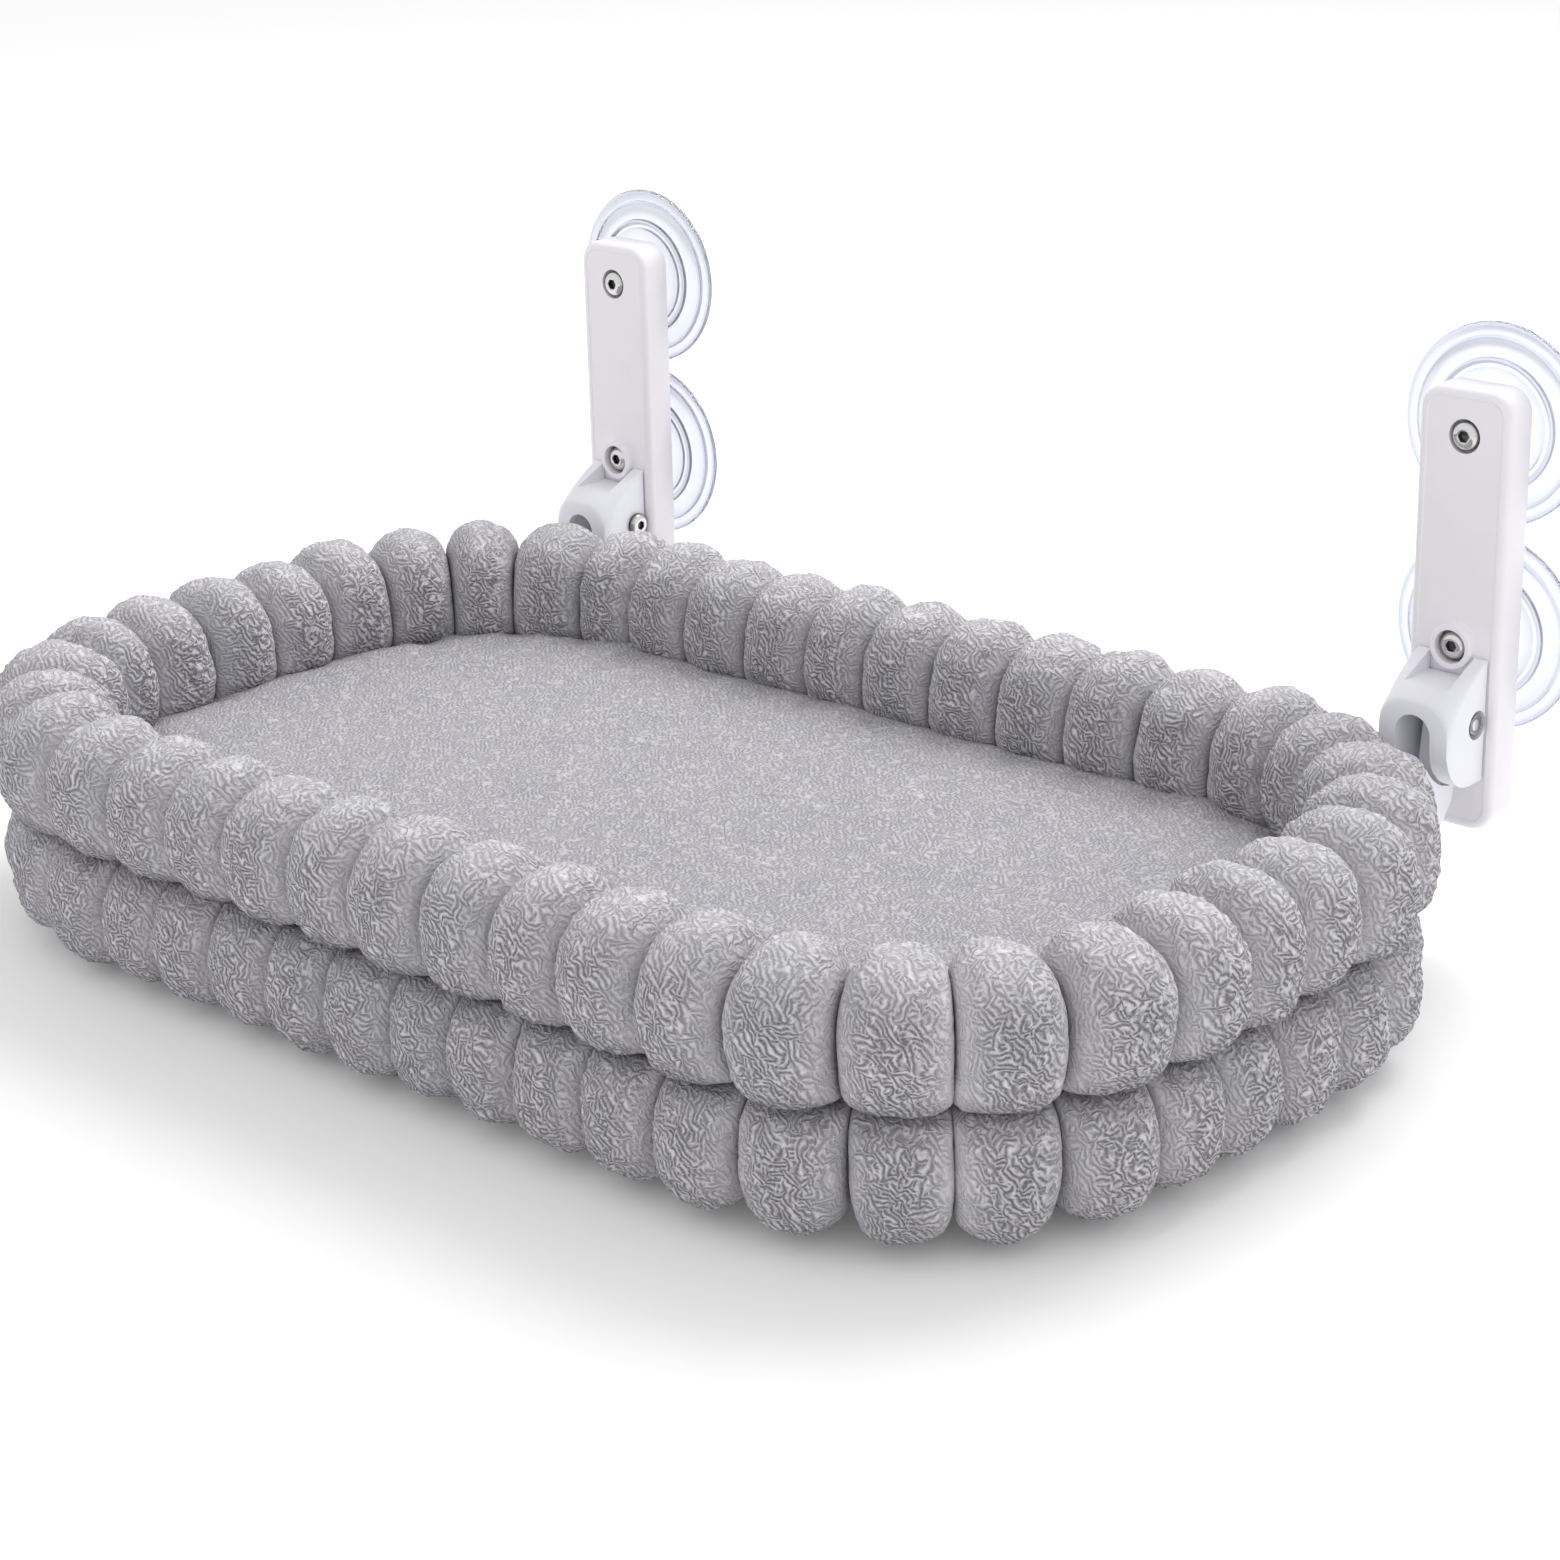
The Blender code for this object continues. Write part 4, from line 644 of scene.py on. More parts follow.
def slab_mesh(name, top, bottom):
    """A closed body between two grids of points of one size."""
    rows, columns = top.shape[:2]
    index = np.arange(rows * columns).reshape(rows, columns)
    quads = np.stack([index[:-1, :-1], index[:-1, 1:], index[1:, 1:], index[1:, :-1]], -1).reshape(-1, 4)
    under = quads[:, ::-1] + rows * columns
    rim = np.concatenate([index[0], index[1:, -1], index[-1, -2::-1], index[-2:0:-1, 0]])
    after = np.roll(rim, -1)
    wall = np.stack([after, rim, rim + rows * columns, after + rows * columns], -1)
    faces = np.concatenate([quads, under, wall]).tolist()
    mesh = bpy.data.meshes.new(name)
    points = np.concatenate([top.reshape(-1, 3), bottom.reshape(-1, 3)])
    mesh.from_pydata(points.tolist(), [], [tuple(face) for face in faces])
    made = bpy.data.objects.new(name, mesh)
    bpy.context.scene.collection.objects.link(made)
    mesh.shade_smooth()
    return made


def node_plan(node):
    """Half length, half width, middle and height range of a CAD node."""
    low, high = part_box(node)
    return (high.x - low.x) / 2, (high.y - low.y) / 2, (low.y + high.y) / 2, low.z, high.z


def build_pad(settings, material):
    """The floor pad: foam blown up a little under a short pile, with a soft rolled edge."""
    half_u, half_v, middle, low, high = node_plan("floor_pad")
    half_u, half_v = half_u + settings.pad_tuck, half_v + settings.pad_tuck
    corner = settings.bed_corner - (settings.half_length - half_u)
    x, y, reach = cut_sheet(half_u, half_v, corner, PAD_COLUMNS, PAD_ROWS)
    soft = settings.pad_edge * np.clip((reach - 0.93) / 0.07, 0, 1) ** 2.2
    top = np.stack([x, y + middle, high - PAD_TOP - soft], -1)
    bottom = np.stack([x * 0.995, y * 0.995 + middle, np.full_like(x, low + PAD_BOTTOM)], -1)
    bag = slab_mesh("pad_bag", top, bottom)
    count = top.shape[0] * top.shape[1]
    points = puffed(bag, list(range(count, 2 * count)), PAD_PRESSURE, PAD_SWELL)
    top = points[:count].reshape(top.shape)
    top, bottom = (between(between(grid, FINER, 0, False), FINER, 1, False) for grid in (top, bottom))
    waves = lattice_noise(top, WAVE_WIDTH, 5) - 0.5 + (lattice_noise(top, DENT_WIDTH, 6) - 0.5) * 0.5
    pile = curled(top, TUFT_WIDTH, 7)
    top[..., 2] += waves * WAVE_HEIGHT + (pile - 0.4) * TUFT_HEIGHT
    piece = slab_mesh("floor_pad_pile", top, bottom)
    # The pad gets no painted shade, and none of the rolls' paler seams or painted top light.
    for layer in ("rim", "crease_and_seam_shade"):
        give(piece.data, layer, np.zeros(len(piece.data.vertices)))
    dress(piece, material, "bed", "short_pile", "floor_pad")
    return piece


def build_sheet(settings, name, node, thickness, sag, hem, material):
    """A stretched sheet of woven cloth with a hem and a little sag. Thickness 0 keeps the CAD sheet's own."""
    half_u, half_v, _, low, high = node_plan(node)
    middle = bed_centre()
    low = high - thickness if thickness else low
    corner = settings.bed_corner - (settings.half_length - half_u)
    x, y, reach = cut_sheet(half_u, half_v, corner, SHEET_COLUMNS, SHEET_ROWS)
    uneven_sag = lattice_noise(np.stack([x, y, np.zeros_like(x)], -1), SAG_WIDTH, 12) - 0.5
    fall = -sag * (1 - reach**2) + uneven_sag * sag * 0.8
    fold = hem * np.clip((reach - 0.93) / 0.01, 0, 1)
    top = np.stack([x, y + middle, high + fall], -1)
    bottom = np.stack([x, y + middle, low + fall - fold], -1)
    piece = slab_mesh(name, top, bottom)
    dress(piece, material, "bed", "sling_cloth", node)
    area = 4 * half_u * half_v - (4 - pi) * corner * corner
    return piece, (2 * half_u, 2 * half_v), area


def build_skirt(outer, corner, top, foot, thick, material):
    """The sling's hanging edge round the frame, lowered where the arms pass."""
    half_u, half_v = outer
    distance, places, angles = corner_path(half_u, half_v, corner)
    run = np.linspace(0, distance[-1], SKIRT_STEPS + 1)[:-1]
    x, y = (np.interp(run, distance, places[:, k]) for k in (0, 1))
    turn = np.interp(run, distance, angles)
    head, foot = np.full_like(x, top), np.full_like(x, foot)
    for side in SIDES:
        low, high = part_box(f"{side}_arm")
        off = np.abs(x - (low.x + high.x) / 2) - (high.x - low.x) / 2
        head = np.where((off < SKIRT_ROOM) & (y > 0), top - ARM_DIP, head)
    rows = []
    for inset, level in ((0, head), (0, foot), (thick, foot), (thick, head)):
        rows.append(np.stack([x - np.cos(turn) * inset, y + bed_centre() - np.sin(turn) * inset, level], -1))
    skirt = grid_mesh("sling_skirt", np.stack(rows), True)
    dress(skirt, material, "bed", "sling_cloth")
    return skirt


# Moulded plastic, cups and screws

# Sections as (radius, height) in millimetres, read off the photo: the cup's raised beads and its dome
CUP_BEADS = (
    (36.0, 1.6), (35.4, 3.0), (34.8, 3.2), (34.0, 2.7), (28.2, 3.3), (27.4, 3.6), (27.0, 4.9), (26.2, 5.3),
    (25.4, 5.0), (24.8, 4.2), (23.6, 4.4), (23.0, 5.3), (22.2, 5.5),
)
CUP_DOME = ((19.0, 6.0), (15.0, 6.7), (12.8, 7.3), (11.4, 8.6), (10.7, 10.5))
# The cup's skin between its beads, as radii and heights, and how far a bead stands above it
SKIN_RADII = (20 * MM, 26.2 * MM, 34 * MM, 40.9 * MM)
SKIN_HEIGHTS = (5.5 * MM, 3.6 * MM, 2.2 * MM, 0.4 * MM)
BEAD_HEIGHT = 1.2 * MM
NECK_RADIUS, NECK_EDGE = 10.7 * MM, 0.6 * MM
NUT_RADIUS, NUT_DEPTH, THREAD_RADIUS, THREAD_END = 4.9 * MM, 4.1 * MM, 2.6 * MM, 11.5 * MM
# A cap's middle point, so small that it closes the cap
POINT = 0.01 * MM

# Button-head screws, measured from their seat
CUP_SCREW = {"head": 6.1 * MM, "socket": 2.5 * MM, "depth": 2.2 * MM, "shank": 2.3 * MM, "length": 10 * MM}
PIVOT_BOLT = {"head": 5.6 * MM, "height": 3 * MM, "socket": 2.2 * MM, "depth": 1.6 * MM, "shank": 2.4 * MM}
# Heights of the CAD heads that these stand for
CUP_HEAD, PIVOT_HEAD = 3 * MM, 2.8 * MM


def refined(node, width, material, body, slot):
    """A CAD node's own shape with its edges rounded as a moulding has them."""
    shape = bmesh.new()
    shape.from_mesh(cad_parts[node].data)
    bmesh.ops.remove_doubles(shape, verts=shape.verts, dist=1e-6)
    bmesh.ops.dissolve_limit(shape, angle_limit=radians(0.8), verts=shape.verts, edges=shape.edges)
    shape.verts.index_update()
    points = [vertex.co.copy() for vertex in shape.verts]
    faces = [[vertex.index for vertex in face.verts] for face in shape.faces]
    shape.free()
    mesh = bpy.data.meshes.new(node + "_moulding")
    mesh.from_pydata(points, [], faces)
    piece = bpy.data.objects.new(node + "_moulding", mesh)
    bpy.context.scene.collection.objects.link(piece)
    mesh.shade_smooth()
    rounding = piece.modifiers.new("Rounded edges", "BEVEL")
    rounding.width = width
    rounding.segments = 3
    rounding.limit_method = "ANGLE"
    rounding.angle_limit = radians(32)
    rounding.miter_outer = "MITER_ARC"
    rounding.harden_normals = True
    dress(piece, material, body, slot, node)
    return piece


def turned(name, profile, sides=96):
    """A closed body turned about Z from (radius, height) points that start and end on the axis."""
    around = 2 * pi * np.arange(sides) / sides
    rows = [np.stack([r * np.cos(around), r * np.sin(around), np.full(sides, z)], -1) for r, z in profile]
    piece = grid_mesh(name, np.stack(rows), False, caps=True)
    piece.data.set_sharp_from_angle(angle=radians(42))
    return piece


def stood(piece, place, direction):
    """Turn a piece made along Z to face a direction and put it in its place, in the mesh itself."""
    turn = Vector((0, 0, 1)).rotation_difference(Vector(direction)).to_matrix().to_4x4()
    piece.data.transform(Matrix.Translation(place) @ turn)
    return piece


def cup_profile(settings, neck_top):
    """The clear cup's section: rim bead, rings, dome and neck, with the nut's seat inside the neck."""
    radius, hollow = settings.cup_radius, settings.cup_hollow
    lip = radius - 3 * MM
    shares = (0.0004, 0.2, 0.4, 0.6, 0.75, 0.9, 1.0)
    inside = [(share * lip, hollow * (1 - share**2.2)) for share in shares]
    bead = ((0.9, 0.0), (0, 0.5), (0, 1.3), (0.8, 1.9), (1.8, 1.8), (2.6, 1.3))
    rim = [(radius - inset * MM, height * MM) for inset, height in bead]
    outside = [(out * MM, height * MM) for out, height in CUP_BEADS + CUP_DOME]
    neck = [(NECK_RADIUS, neck_top - NECK_EDGE), (NECK_RADIUS - NECK_EDGE, neck_top), (NUT_RADIUS, neck_top)]
    floor = neck_top - NUT_DEPTH
    seat = [(NUT_RADIUS, floor), (THREAD_RADIUS, floor), (THREAD_RADIUS, THREAD_END), (POINT, THREAD_END)]
    return inside + rim + outside + neck + seat


def thickness(profile):
    """For each point of a cup's section, how much it belongs to a raised bead, from 0 to 1."""
    points = np.array(profile)
    level = np.interp(points[:, 0], SKIN_RADII, SKIN_HEIGHTS)
    raised = np.clip((points[:, 1] - level) / BEAD_HEIGHT, 0, 1)
    return np.where(points[:, 0] > SKIN_RADII[0], raised, 0)


def hex_ring(radius, height, six_sided, sides=48):
    """Points of a ring about Z, round or drawn in to six flats."""
    around = 2 * pi * np.arange(sides) / sides
    reach = radius * cos(pi / 6) / np.cos(around % (pi / 3) - pi / 6) if six_sided else radius
    return np.stack([reach * np.cos(around), reach * np.sin(around), np.full(sides, height)], -1)


def screw(name, head, height, socket, depth, shank, length):
    """A button-head screw along Z, its seat at 0, with a six-sided socket in a rounded crown."""
    land = socket * 1.22
    rings = [(POINT, height - depth - 0.4 * MM, True), (socket * 0.96, height - depth, True)]
    rings += [(socket, height - depth * 0.1, True), (socket * 1.10, height + 0.02 * MM, False)]
    rings.append((land, height, False))
    for step in (0.2, 0.4, 0.6, 0.8, 0.95):
        lean = step * pi / 2
        rings.append((land + (head - land) * sin(lean), height * (0.28 + 0.72 * cos(lean)), False))
    rings += [(head, height * 0.25, False), (head * 0.985, 0, False)]
    rings += [(shank, 0, False), (shank, -length, False)]
    piece = grid_mesh(name, np.stack([hex_ring(*ring) for ring in rings]), False, caps=True)
    piece.data.set_sharp_from_angle(angle=radians(38))
    # How much each ring lies in the shade of the socket or of the recess round the head
    shades = (1, 1, 0.5, 0, 0, 0, 0, 0.3, 0.65, 0.9, 1, 1, 0, 0)
    give(piece.data, "recess", np.repeat(shades, len(piece.data.vertices) // len(rings)))
    return piece


def moved_on(piece, node, head_towards, head_height):
    """Put a screw where its CAD node is, head towards the given direction."""
    low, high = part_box(node)
    middle = (low + high) / 2
    direction = Vector(head_towards)
    half = abs((high - low).dot(direction)) / 2
    stood(piece, middle + direction * (half - head_height), direction)


def dress_cad(node, material):
    """Give a CAD node that stays in view its own finish."""
    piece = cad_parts[node]
    piece.data.materials.clear()
    piece.data.materials.append(material)


# Settings

def length(name, text, value, **more):
    """A length property in metres."""
    return FloatProperty(name=name, description=text, default=value, unit="LENGTH", precision=4, **more)


def colour(name, text, code):
    """A colour property from an sRGB hex value."""
    return FloatVectorProperty(
        name=name, description=text, default=linear(code), subtype="COLOR", size=3, min=0, max=1
    )


def number(name, text, value, **more):
    """A property without a length, such as a share or a strength."""
    return FloatProperty(name=name, description=text, default=value, **more)


class PerchUpperRoll(bpy.types.PropertyGroup):
    node: StringProperty(name="Node", description="CAD node the roll stands for", default="upper_bolster")
    segments: IntProperty(name="Segments", description="Plush segments round the roll", default=43, min=8)
    inset: length("Inset", "How far the roll's middle lies inside the bed's path", 0.0)
    half_width: length("Half width", "Half the roll's width", 0.0284)
    half_height: length("Half height", "Half the roll's full height", 0.0299)
    height: length("Height", "Height of the roll's middle", -0.0174)
    upper: BoolProperty(name="Upper", description="The roll lies above the crease", default=True)
    seed: IntProperty(name="Seed", description="Seed of the segments' small differences", default=3)


class PerchLowerRoll(bpy.types.PropertyGroup):
    node: StringProperty(name="Node", description="CAD node the roll stands for", default="lower_bolster")
    segments: IntProperty(name="Segments", description="Plush segments round the roll", default=45, min=8)
    inset: length("Inset", "How far the roll's middle lies inside the bed's path", 0.002)
    half_width: length("Half width", "Half the roll's width", 0.0262)
    half_height: length("Half height", "Half the roll's full height", 0.0275)
    height: length("Height", "Height of the roll's middle", -0.0678)
    upper: BoolProperty(name="Upper", description="The roll lies above the crease", default=False)
    seed: IntProperty(name="Seed", description="Seed of the segments' small differences", default=11)


class PerchPlush(bpy.types.PropertyGroup):
    half_length: length("Half length", "Half the length of the rolls' path", 0.275)
    half_width: length("Half width", "Half the width of the rolls' path", 0.157)
    bed_corner: length("Corner", "Corner radius of the rolls' path", 0.110)
    crease: length("Crease", "Height at which the two rolls meet", -0.0425)
    seam_depth: length("Seam depth", "How deep the seams draw the rolls in", 0.0190)
    seated: number("Seated", "Share of the seam depth lost where a roll sits", 0.75)
    closing: number("Closing", "Below 1, fills the segments at the closing seam out to it", 0.6)
    fullness: number("Fullness", "How square the segments are, 2 is round", 2.15)
    slack: number("Slack", "Share that a segment is cut small before it is filled", 0.05)
    pressure: number("Filling pressure", "Cloth pressure that fills the segments", 4.0)
    swell_cap: length("Swell", "Most that the filling may move the cloth", 0.0024)
    curl: length("Curl", "Width of a curl of pile", 0.0050)
    pad_edge: length("Pad edge", "How far the pad's edge rolls down", 0.0040)
    pad_tuck: length("Pad tuck", "How far the pad's pile reaches under the rolls", 0.0160)
    light: colour("Pile tips", "Colour of the brushed tips", "#E8E6EB")
    dark: colour("Pile roots", "Colour between the curls", "#6F6D73")
    pad_light: colour("Pad tips", "Colour of the pad's tips", "#D0CED3")
    pad_dark: colour("Pad roots", "Colour between the pad's tufts", "#9B999F")
    cloth: colour("Cloth", "Colour of the sling and cover", "#8E8C91")


class PerchPlastic(bpy.types.PropertyGroup):
    bar: colour("Bars", "Colour of the mounting bars", "#F6F3F8")
    block: colour("Hinge blocks", "Colour of hinge blocks and arms", "#F1F1F8")
    edge: length("Edge", "Radius of the moulded edges", 0.0006)
    cup: colour("Cups", "Tint of the clear cups", "#F3F5FC")
    cup_deep: colour("Cup beads", "Tint of the cups where they are thick", "#BEC3D6")
    cup_radius: length("Cup radius", "Radius of a suction cup", 0.0409)
    crown: length("Screw crown", "Height of an upper cup screw's head", 0.0042)
    low_crown: length("Low screw crown", "Height of a lower cup screw's head, inside its collar", 0.0058)
    cup_hollow: length("Cup hollow", "Depth of a cup's hollow", 0.0036)
    chrome: colour("Chrome", "Colour of the chrome screws", "#D9D8D8")
    zinc: colour("Zinc", "Colour of the zinc plating", "#96989D")
    nylon: colour("Nylon", "Colour of the bushes", "#E2DFD6")
    tube: colour("Tubes", "Colour of the frame tubes", "#B4B4B7")


class PerchStage(bpy.types.PropertyGroup):
    lens: number("Lens", "Focal length in millimetres", 79.03)
    drop: length("Floor drop", "How far the floor lies below the rolls' CAD solid", 0.0032)
    dome: number("Dome", "Strength of the soft light all round", 0.84)
    key: number("Key", "Power of the large lamp overhead", 24.0, unit="POWER")
    lamp_size: length("Lamp size", "Width of the large lamp overhead", 1.5)
    floor: colour("Floor", "Colour of the floor", "#FFFFFF")
    glow: number("Glow", "Light the floor adds to itself where it is looked at", 0.07)


def finish(name):
    """The named material, made once from the scene's settings."""
    known = bpy.data.materials.get(name)
    if known:
        return known
    plastic = bpy.context.scene.perch_plastic
    plush = bpy.context.scene.perch_plush
    if name == "abs_spark_eroded":
        return moulded_abs(name, tuple(plastic.bar), roughness=0.42, grain=SPARK_PIT)
    if name == "abs_polished":
        return moulded_abs(name, tuple(plastic.block), roughness=0.24, grain=POLISH_RIPPLE)
    if name == "pvc_moulded_clear":
        return clear_pvc(name, tuple(plastic.cup), tuple(plastic.cup_deep))
    if name == "steel_chrome_plated":
        return plated_steel(name, tuple(plastic.chrome), roughness=0.12, wear=0.06)
    if name == "steel_zinc_plated":
        return plated_steel(name, tuple(plastic.zinc), roughness=0.30, wear=0.12)
    if name == "nylon_moulded":
        return moulded_nylon(name, tuple(plastic.nylon))
    if name == "steel_powder_coated":
        return powder_coated_steel(name, tuple(plastic.tube))
    if name == "polyester_woven":
        return woven_polyester(name, tuple(plush.cloth))
    if name == "plush_long_pile":
        light, dark = tuple(plush.light), tuple(plush.dark)
        return brushed_plush(name, light, dark, spacing=LONG_CURL, relief=1.4 * MM, rim_share=0.80)
    if name == "plush_short_pile":
        light, dark = tuple(plush.pad_light), tuple(plush.pad_dark)
        return brushed_plush(name, light, dark, spacing=SHORT_CURL, relief=0.5 * MM, rim_share=0)
    raise ValueError(f"no finish is named {name}")


# Operators

class PERCH_OT_rolls(bpy.types.Operator):
    """Build both plush rolls"""

    bl_idname = "perch.rolls"
    bl_label = "Plush Rolls"

    def execute(self, context):
        for roll in (context.scene.perch_upper_roll, context.scene.perch_lower_roll):
            build_roll(context.scene.perch_plush, roll, finish("plush_long_pile"))
        return {"FINISHED"}


class PERCH_OT_pad(bpy.types.Operator):
    """Build the floor pad"""

    bl_idname = "perch.pad"
    bl_label = "Floor Pad"

    def execute(self, context):
        build_pad(context.scene.perch_plush, finish("plush_short_pile"))
        return {"FINISHED"}


class PERCH_OT_cloths(bpy.types.Operator):
    """Build the sling that carries the pad and the cover below it"""

    bl_idname = "perch.cloths"
    bl_label = "Sling and Cover"

    def execute(self, context):
        settings = context.scene.perch_plush
        cloth = finish("polyester_woven")
        sling, flat, area = build_sheet(settings, "sling_panel", "base_sling", CLOTH, 0.2 * MM, 0, cloth)
        low, high = (corner.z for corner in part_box("base_sling"))
        outer_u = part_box("right_frame_tube")[1].x + OFF_TUBE
        outer_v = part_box("rear_frame_tube")[1].y - bed_centre() + OFF_TUBE
        top = high - CLOTH - SKIRT_GAP
        skirt = build_skirt((outer_u, outer_v), SKIRT_CORNER, top, low, CLOTH, cloth)
        sag, hem = 0.4 * MM, 0.6 * MM
        cover, flat, area = build_sheet(settings, "cover_panel", "underside_cover", 0, sag, hem, cloth)
        return {"FINISHED"}


class PERCH_OT_brackets(bpy.types.Operator):
    """Build the mounting bars, hinge blocks and arms with rounded edges"""

    bl_idname = "perch.brackets"
    bl_label = "Bars, Hinge Blocks and Arms"

    def execute(self, context):
        edge = context.scene.perch_plastic.edge
        for side in SIDES:
            refined(f"{side}_mounting_bar", edge * 0.6, finish("abs_spark_eroded"), "brackets", "white_abs")
            refined(f"{side}_hinge_block", edge, finish("abs_polished"), "brackets", "gloss_abs")
            refined(f"{side}_arm", edge * 0.7, finish("abs_polished"), "bed", "gloss_abs")
        return {"FINISHED"}


class PERCH_OT_cups(bpy.types.Operator):
    """Build the four clear suction cups"""

    bl_idname = "perch.cups"
    bl_label = "Suction Cups"

    def execute(self, context):
        settings = context.scene.perch_plastic
        for side in SIDES:
            for level in LEVELS:
                node = f"{side}_{level}_suction_cup"
                low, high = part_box(node)
                middle = (low + high) / 2
                profile = cup_profile(settings, high.y - low.y)
                cup = turned(node + "_clear", profile)
                give(cup.data, "thick", np.repeat(thickness(profile), len(cup.data.vertices) // len(profile)))
                stood(cup, (middle.x, high.y, middle.z), (0, -1, 0))
                dress(cup, finish("pvc_moulded_clear"), "brackets", "clear_pvc", node)
        return {"FINISHED"}


class PERCH_OT_fasteners(bpy.types.Operator):
    """Build the visible screws and give the other hardware its plating"""

    bl_idname = "perch.fasteners"
    bl_label = "Screws and Hardware"

    def execute(self, context):
        settings = context.scene.perch_plastic
        chrome, zinc = finish("steel_chrome_plated"), finish("steel_zinc_plated")
        for side, out in zip(SIDES, (-1, 1)):
            for level in LEVELS:
                node = f"{side}_{level}_cup_screw"
                crown = settings.crown if level == "upper" else settings.low_crown
                made = screw(node + "_chrome", height=crown, **CUP_SCREW)
                moved_on(made, node, (0, -1, 0), CUP_HEAD)
                dress(made, chrome, "brackets", "chrome_screws", node)
                dress_cad(f"{side}_{level}_cup_nut", zinc)
            node = f"{side}_pivot_bolt"
            low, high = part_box(node)
            made = screw(node + "_chrome", length=high.x - low.x - PIVOT_HEAD, **PIVOT_BOLT)
            moved_on(made, node, (-out, 0, 0), PIVOT_HEAD)
            dress(made, chrome, "brackets", "chrome_screws", node)
            dress_cad(f"{side}_pivot_nut", zinc)
            dress_cad(f"{side}_block_screw", zinc)
            for end in ("front", "rear"):
                dress_cad(f"{side}_{end}_arm_screw", zinc)
        return {"FINISHED"}


class PERCH_OT_frame(bpy.types.Operator):
    """Give the tube frame and the bushes their finishes"""

    bl_idname = "perch.frame"
    bl_label = "Tube Frame"

    def execute(self, context):
        coat = finish("steel_powder_coated")
        for node in ("front_frame_tube", "rear_frame_tube", "left_frame_tube", "right_frame_tube"):
            dress_cad(node, coat)
        for side in SIDES:
            for end in ("front", "rear"):
                dress_cad(f"{side}_{end}_corner_bend", coat)
            dress_cad(f"{side}_pivot_bush", finish("nylon_moulded"))
        return {"FINISHED"}


FLOOR_HALF = 14.0
FLOOR_MARK = 0.8
LAMP_PLACE = (0.05, 1.05, 1.60)
# The camera fitted to the photograph
CAMERA_PLACE = (0.898, -1.1589, 0.460)
CAMERA_AZIMUTH, CAMERA_ELEVATION, CAMERA_ROLL = 42.24, 20.53, -1.284


def photo_camera(lens):
    """The camera of the photograph, for a square image."""
    azimuth, elevation, roll = (radians(angle) for angle in (CAMERA_AZIMUTH, CAMERA_ELEVATION, CAMERA_ROLL))
    back = Vector((sin(azimuth) * cos(elevation), -cos(azimuth) * cos(elevation), sin(elevation)))
    right = Vector((cos(azimuth), sin(azimuth), 0))
    up = back.cross(right)
    across = right * cos(roll) + up * sin(roll)
    upward = up * cos(roll) - right * sin(roll)
    camera = bpy.data.objects.new("photo_camera", bpy.data.cameras.new("photo_camera"))
    bpy.context.scene.collection.objects.link(camera)
    camera.data.lens = lens
    camera.data.sensor_width = 36
    turn = Matrix((across, upward, back)).transposed().to_4x4()
    camera.matrix_world = Matrix.Translation(CAMERA_PLACE) @ turn
    camera.data.clip_start = 0.01
    camera.data.clip_end = 50
    bpy.context.scene.camera = camera


def looked_at(tree):
    """A socket that is 1 for rays from the camera and for those seen through or in something."""
    rays = add(tree, "ShaderNodeLightPath").node.outputs
    seen = {0: rays["Is Camera Ray"], 1: rays["Is Glossy Ray"]}
    through = {0: add(tree, "ShaderNodeMath", seen, operation="MAXIMUM"), 1: rays["Is Transmission Ray"]}
    return add(tree, "ShaderNodeMath", through, operation="MAXIMUM")


def white_world(dome):
    """A dome of soft light that looks plain white behind the object, in glass and in metal."""
    world = bpy.data.worlds.new("studio")
    bpy.context.scene.world = world
    world.use_nodes = True
    tree = world.node_tree
    tree.nodes.clear()
    light = add(tree, "ShaderNodeBackground", {"Color": (1, 1, 1, 1), "Strength": dome})
    shown = add(tree, "ShaderNodeBackground", {"Color": (1, 1, 1, 1), "Strength": 1.0})
    mixed = add(tree, "ShaderNodeMixShader", {0: looked_at(tree), 1: light, 2: shown})
    plug(tree, tree.nodes.new("ShaderNodeOutputWorld"), {"Surface": mixed})


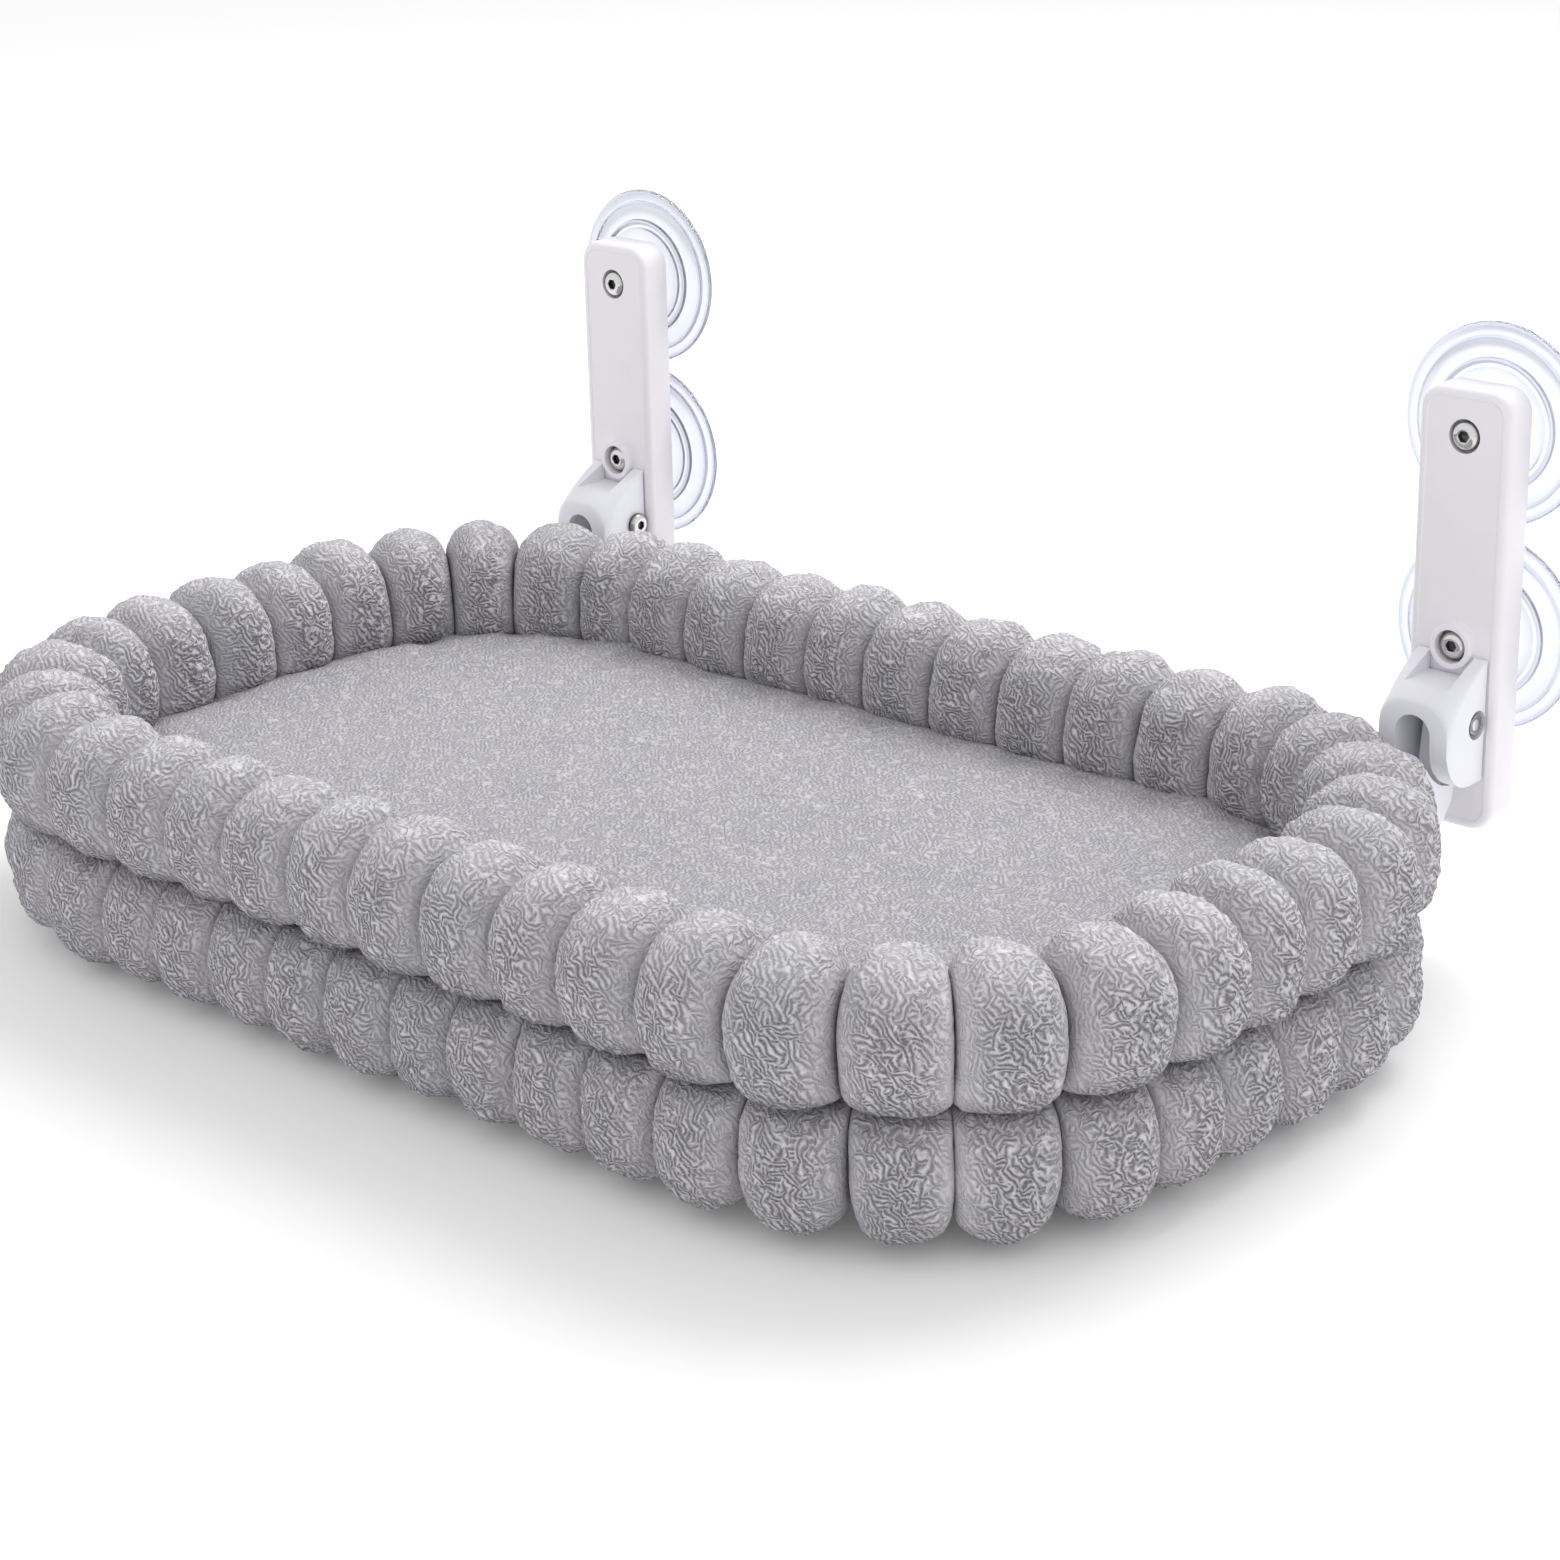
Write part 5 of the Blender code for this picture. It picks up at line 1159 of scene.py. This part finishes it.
class PERCH_OT_stage(bpy.types.Operator):
    """Set up the floor, the studio light and the camera"""

    bl_idname = "perch.stage"
    bl_label = "Stage"

    def execute(self, context):
        settings = context.scene.perch_stage
        white_world(settings.dome)
        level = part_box("lower_bolster")[0].z - settings.drop
        half = FLOOR_HALF
        corners = ((-half, -half, level), (half, -half, level), (half, half, level), (-half, half, level))
        mesh = bpy.data.meshes.new("studio_floor")
        mesh.from_pydata(corners, [], [(0, 1, 2, 3)])
        floor = bpy.data.objects.new("studio_floor", mesh)
        context.scene.collection.objects.link(floor)
        values = {"Roughness": 0.9, "Specular IOR Level": 0.0, "Emission Color": (1, 1, 1, 1)}
        material, tree, shader, place = start_material("painted_floor", values)
        tone = tuple(settings.floor)
        patch = add(tree, "ShaderNodeTexNoise", {"Vector": place, "Scale": 1 / FLOOR_MARK, "Detail": 1.0})
        stops = ((0.3, tinted(tone, 0.995)), (0.7, tinted(tone, 1.0)))
        shade = add(tree, "ShaderNodeValToRGB", {"Fac": patch}, stops=stops)
        glow = add(tree, "ShaderNodeMath", {0: looked_at(tree), 1: settings.glow}, operation="MULTIPLY")
        plug(tree, shader, {"Base Color": shade, "Emission Strength": glow})
        mesh.materials.append(material)

        lamp = bpy.data.lights.new("overhead_softbox", "AREA")
        lamp.shape = "DISK"
        lamp.size = settings.lamp_size
        lamp.energy = settings.key
        softbox = bpy.data.objects.new("overhead_softbox", lamp)
        softbox.location = LAMP_PLACE
        aim = Vector((0, bed_centre(), 0)) - softbox.location
        softbox.rotation_euler = aim.to_track_quat("-Z", "Y").to_euler()
        context.scene.collection.objects.link(softbox)
        photo_camera(settings.lens)
        context.scene.view_settings.view_transform = "Standard"
        return {"FINISHED"}


class PERCH_PT_panel(bpy.types.Panel):
    """Lists the perch's settings and the steps that build it"""

    bl_idname = "PERCH_PT_panel"
    bl_label = "Cat Window Perch"
    bl_space_type = "VIEW_3D"
    bl_region_type = "UI"
    bl_category = "Perch"

    def draw(self, context):
        for step in STEPS:
            self.layout.operator(step.bl_idname)
        for group in GROUPS:
            settings = getattr(context.scene, group)
            box = self.layout.box()
            box.label(text=group.replace("_", " "))
            for key in settings.bl_rna.properties.keys():
                if key not in ("rna_type", "name"):
                    box.prop(settings, key)


STEPS = (
    PERCH_OT_stage,
    PERCH_OT_frame,
    PERCH_OT_fasteners,
    PERCH_OT_cups,
    PERCH_OT_brackets,
    PERCH_OT_cloths,
    PERCH_OT_pad,
    PERCH_OT_rolls,
)
GROUPS = {
    "perch_upper_roll": PerchUpperRoll,
    "perch_lower_roll": PerchLowerRoll,
    "perch_plush": PerchPlush,
    "perch_plastic": PerchPlastic,
    "perch_stage": PerchStage,
}


def register():
    for group in GROUPS.values():
        bpy.utils.register_class(group)
    for name, group in GROUPS.items():
        setattr(bpy.types.Scene, name, PointerProperty(type=group))
    for step in STEPS:
        bpy.utils.register_class(step)
    bpy.utils.register_class(PERCH_PT_panel)


def unregister():
    bpy.utils.unregister_class(PERCH_PT_panel)
    for step in reversed(STEPS):
        bpy.utils.unregister_class(step)
    for name, group in GROUPS.items():
        delattr(bpy.types.Scene, name)
        bpy.utils.unregister_class(group)


def main():
    """Build the whole scene."""
    register()
    bpy.ops.perch.stage()
    bpy.ops.perch.frame()
    bpy.ops.perch.fasteners()
    bpy.ops.perch.cups()
    bpy.ops.perch.brackets()
    bpy.ops.perch.rolls()
    bpy.ops.perch.pad()
    bpy.ops.perch.cloths()


if __name__ == "__main__":
    main()
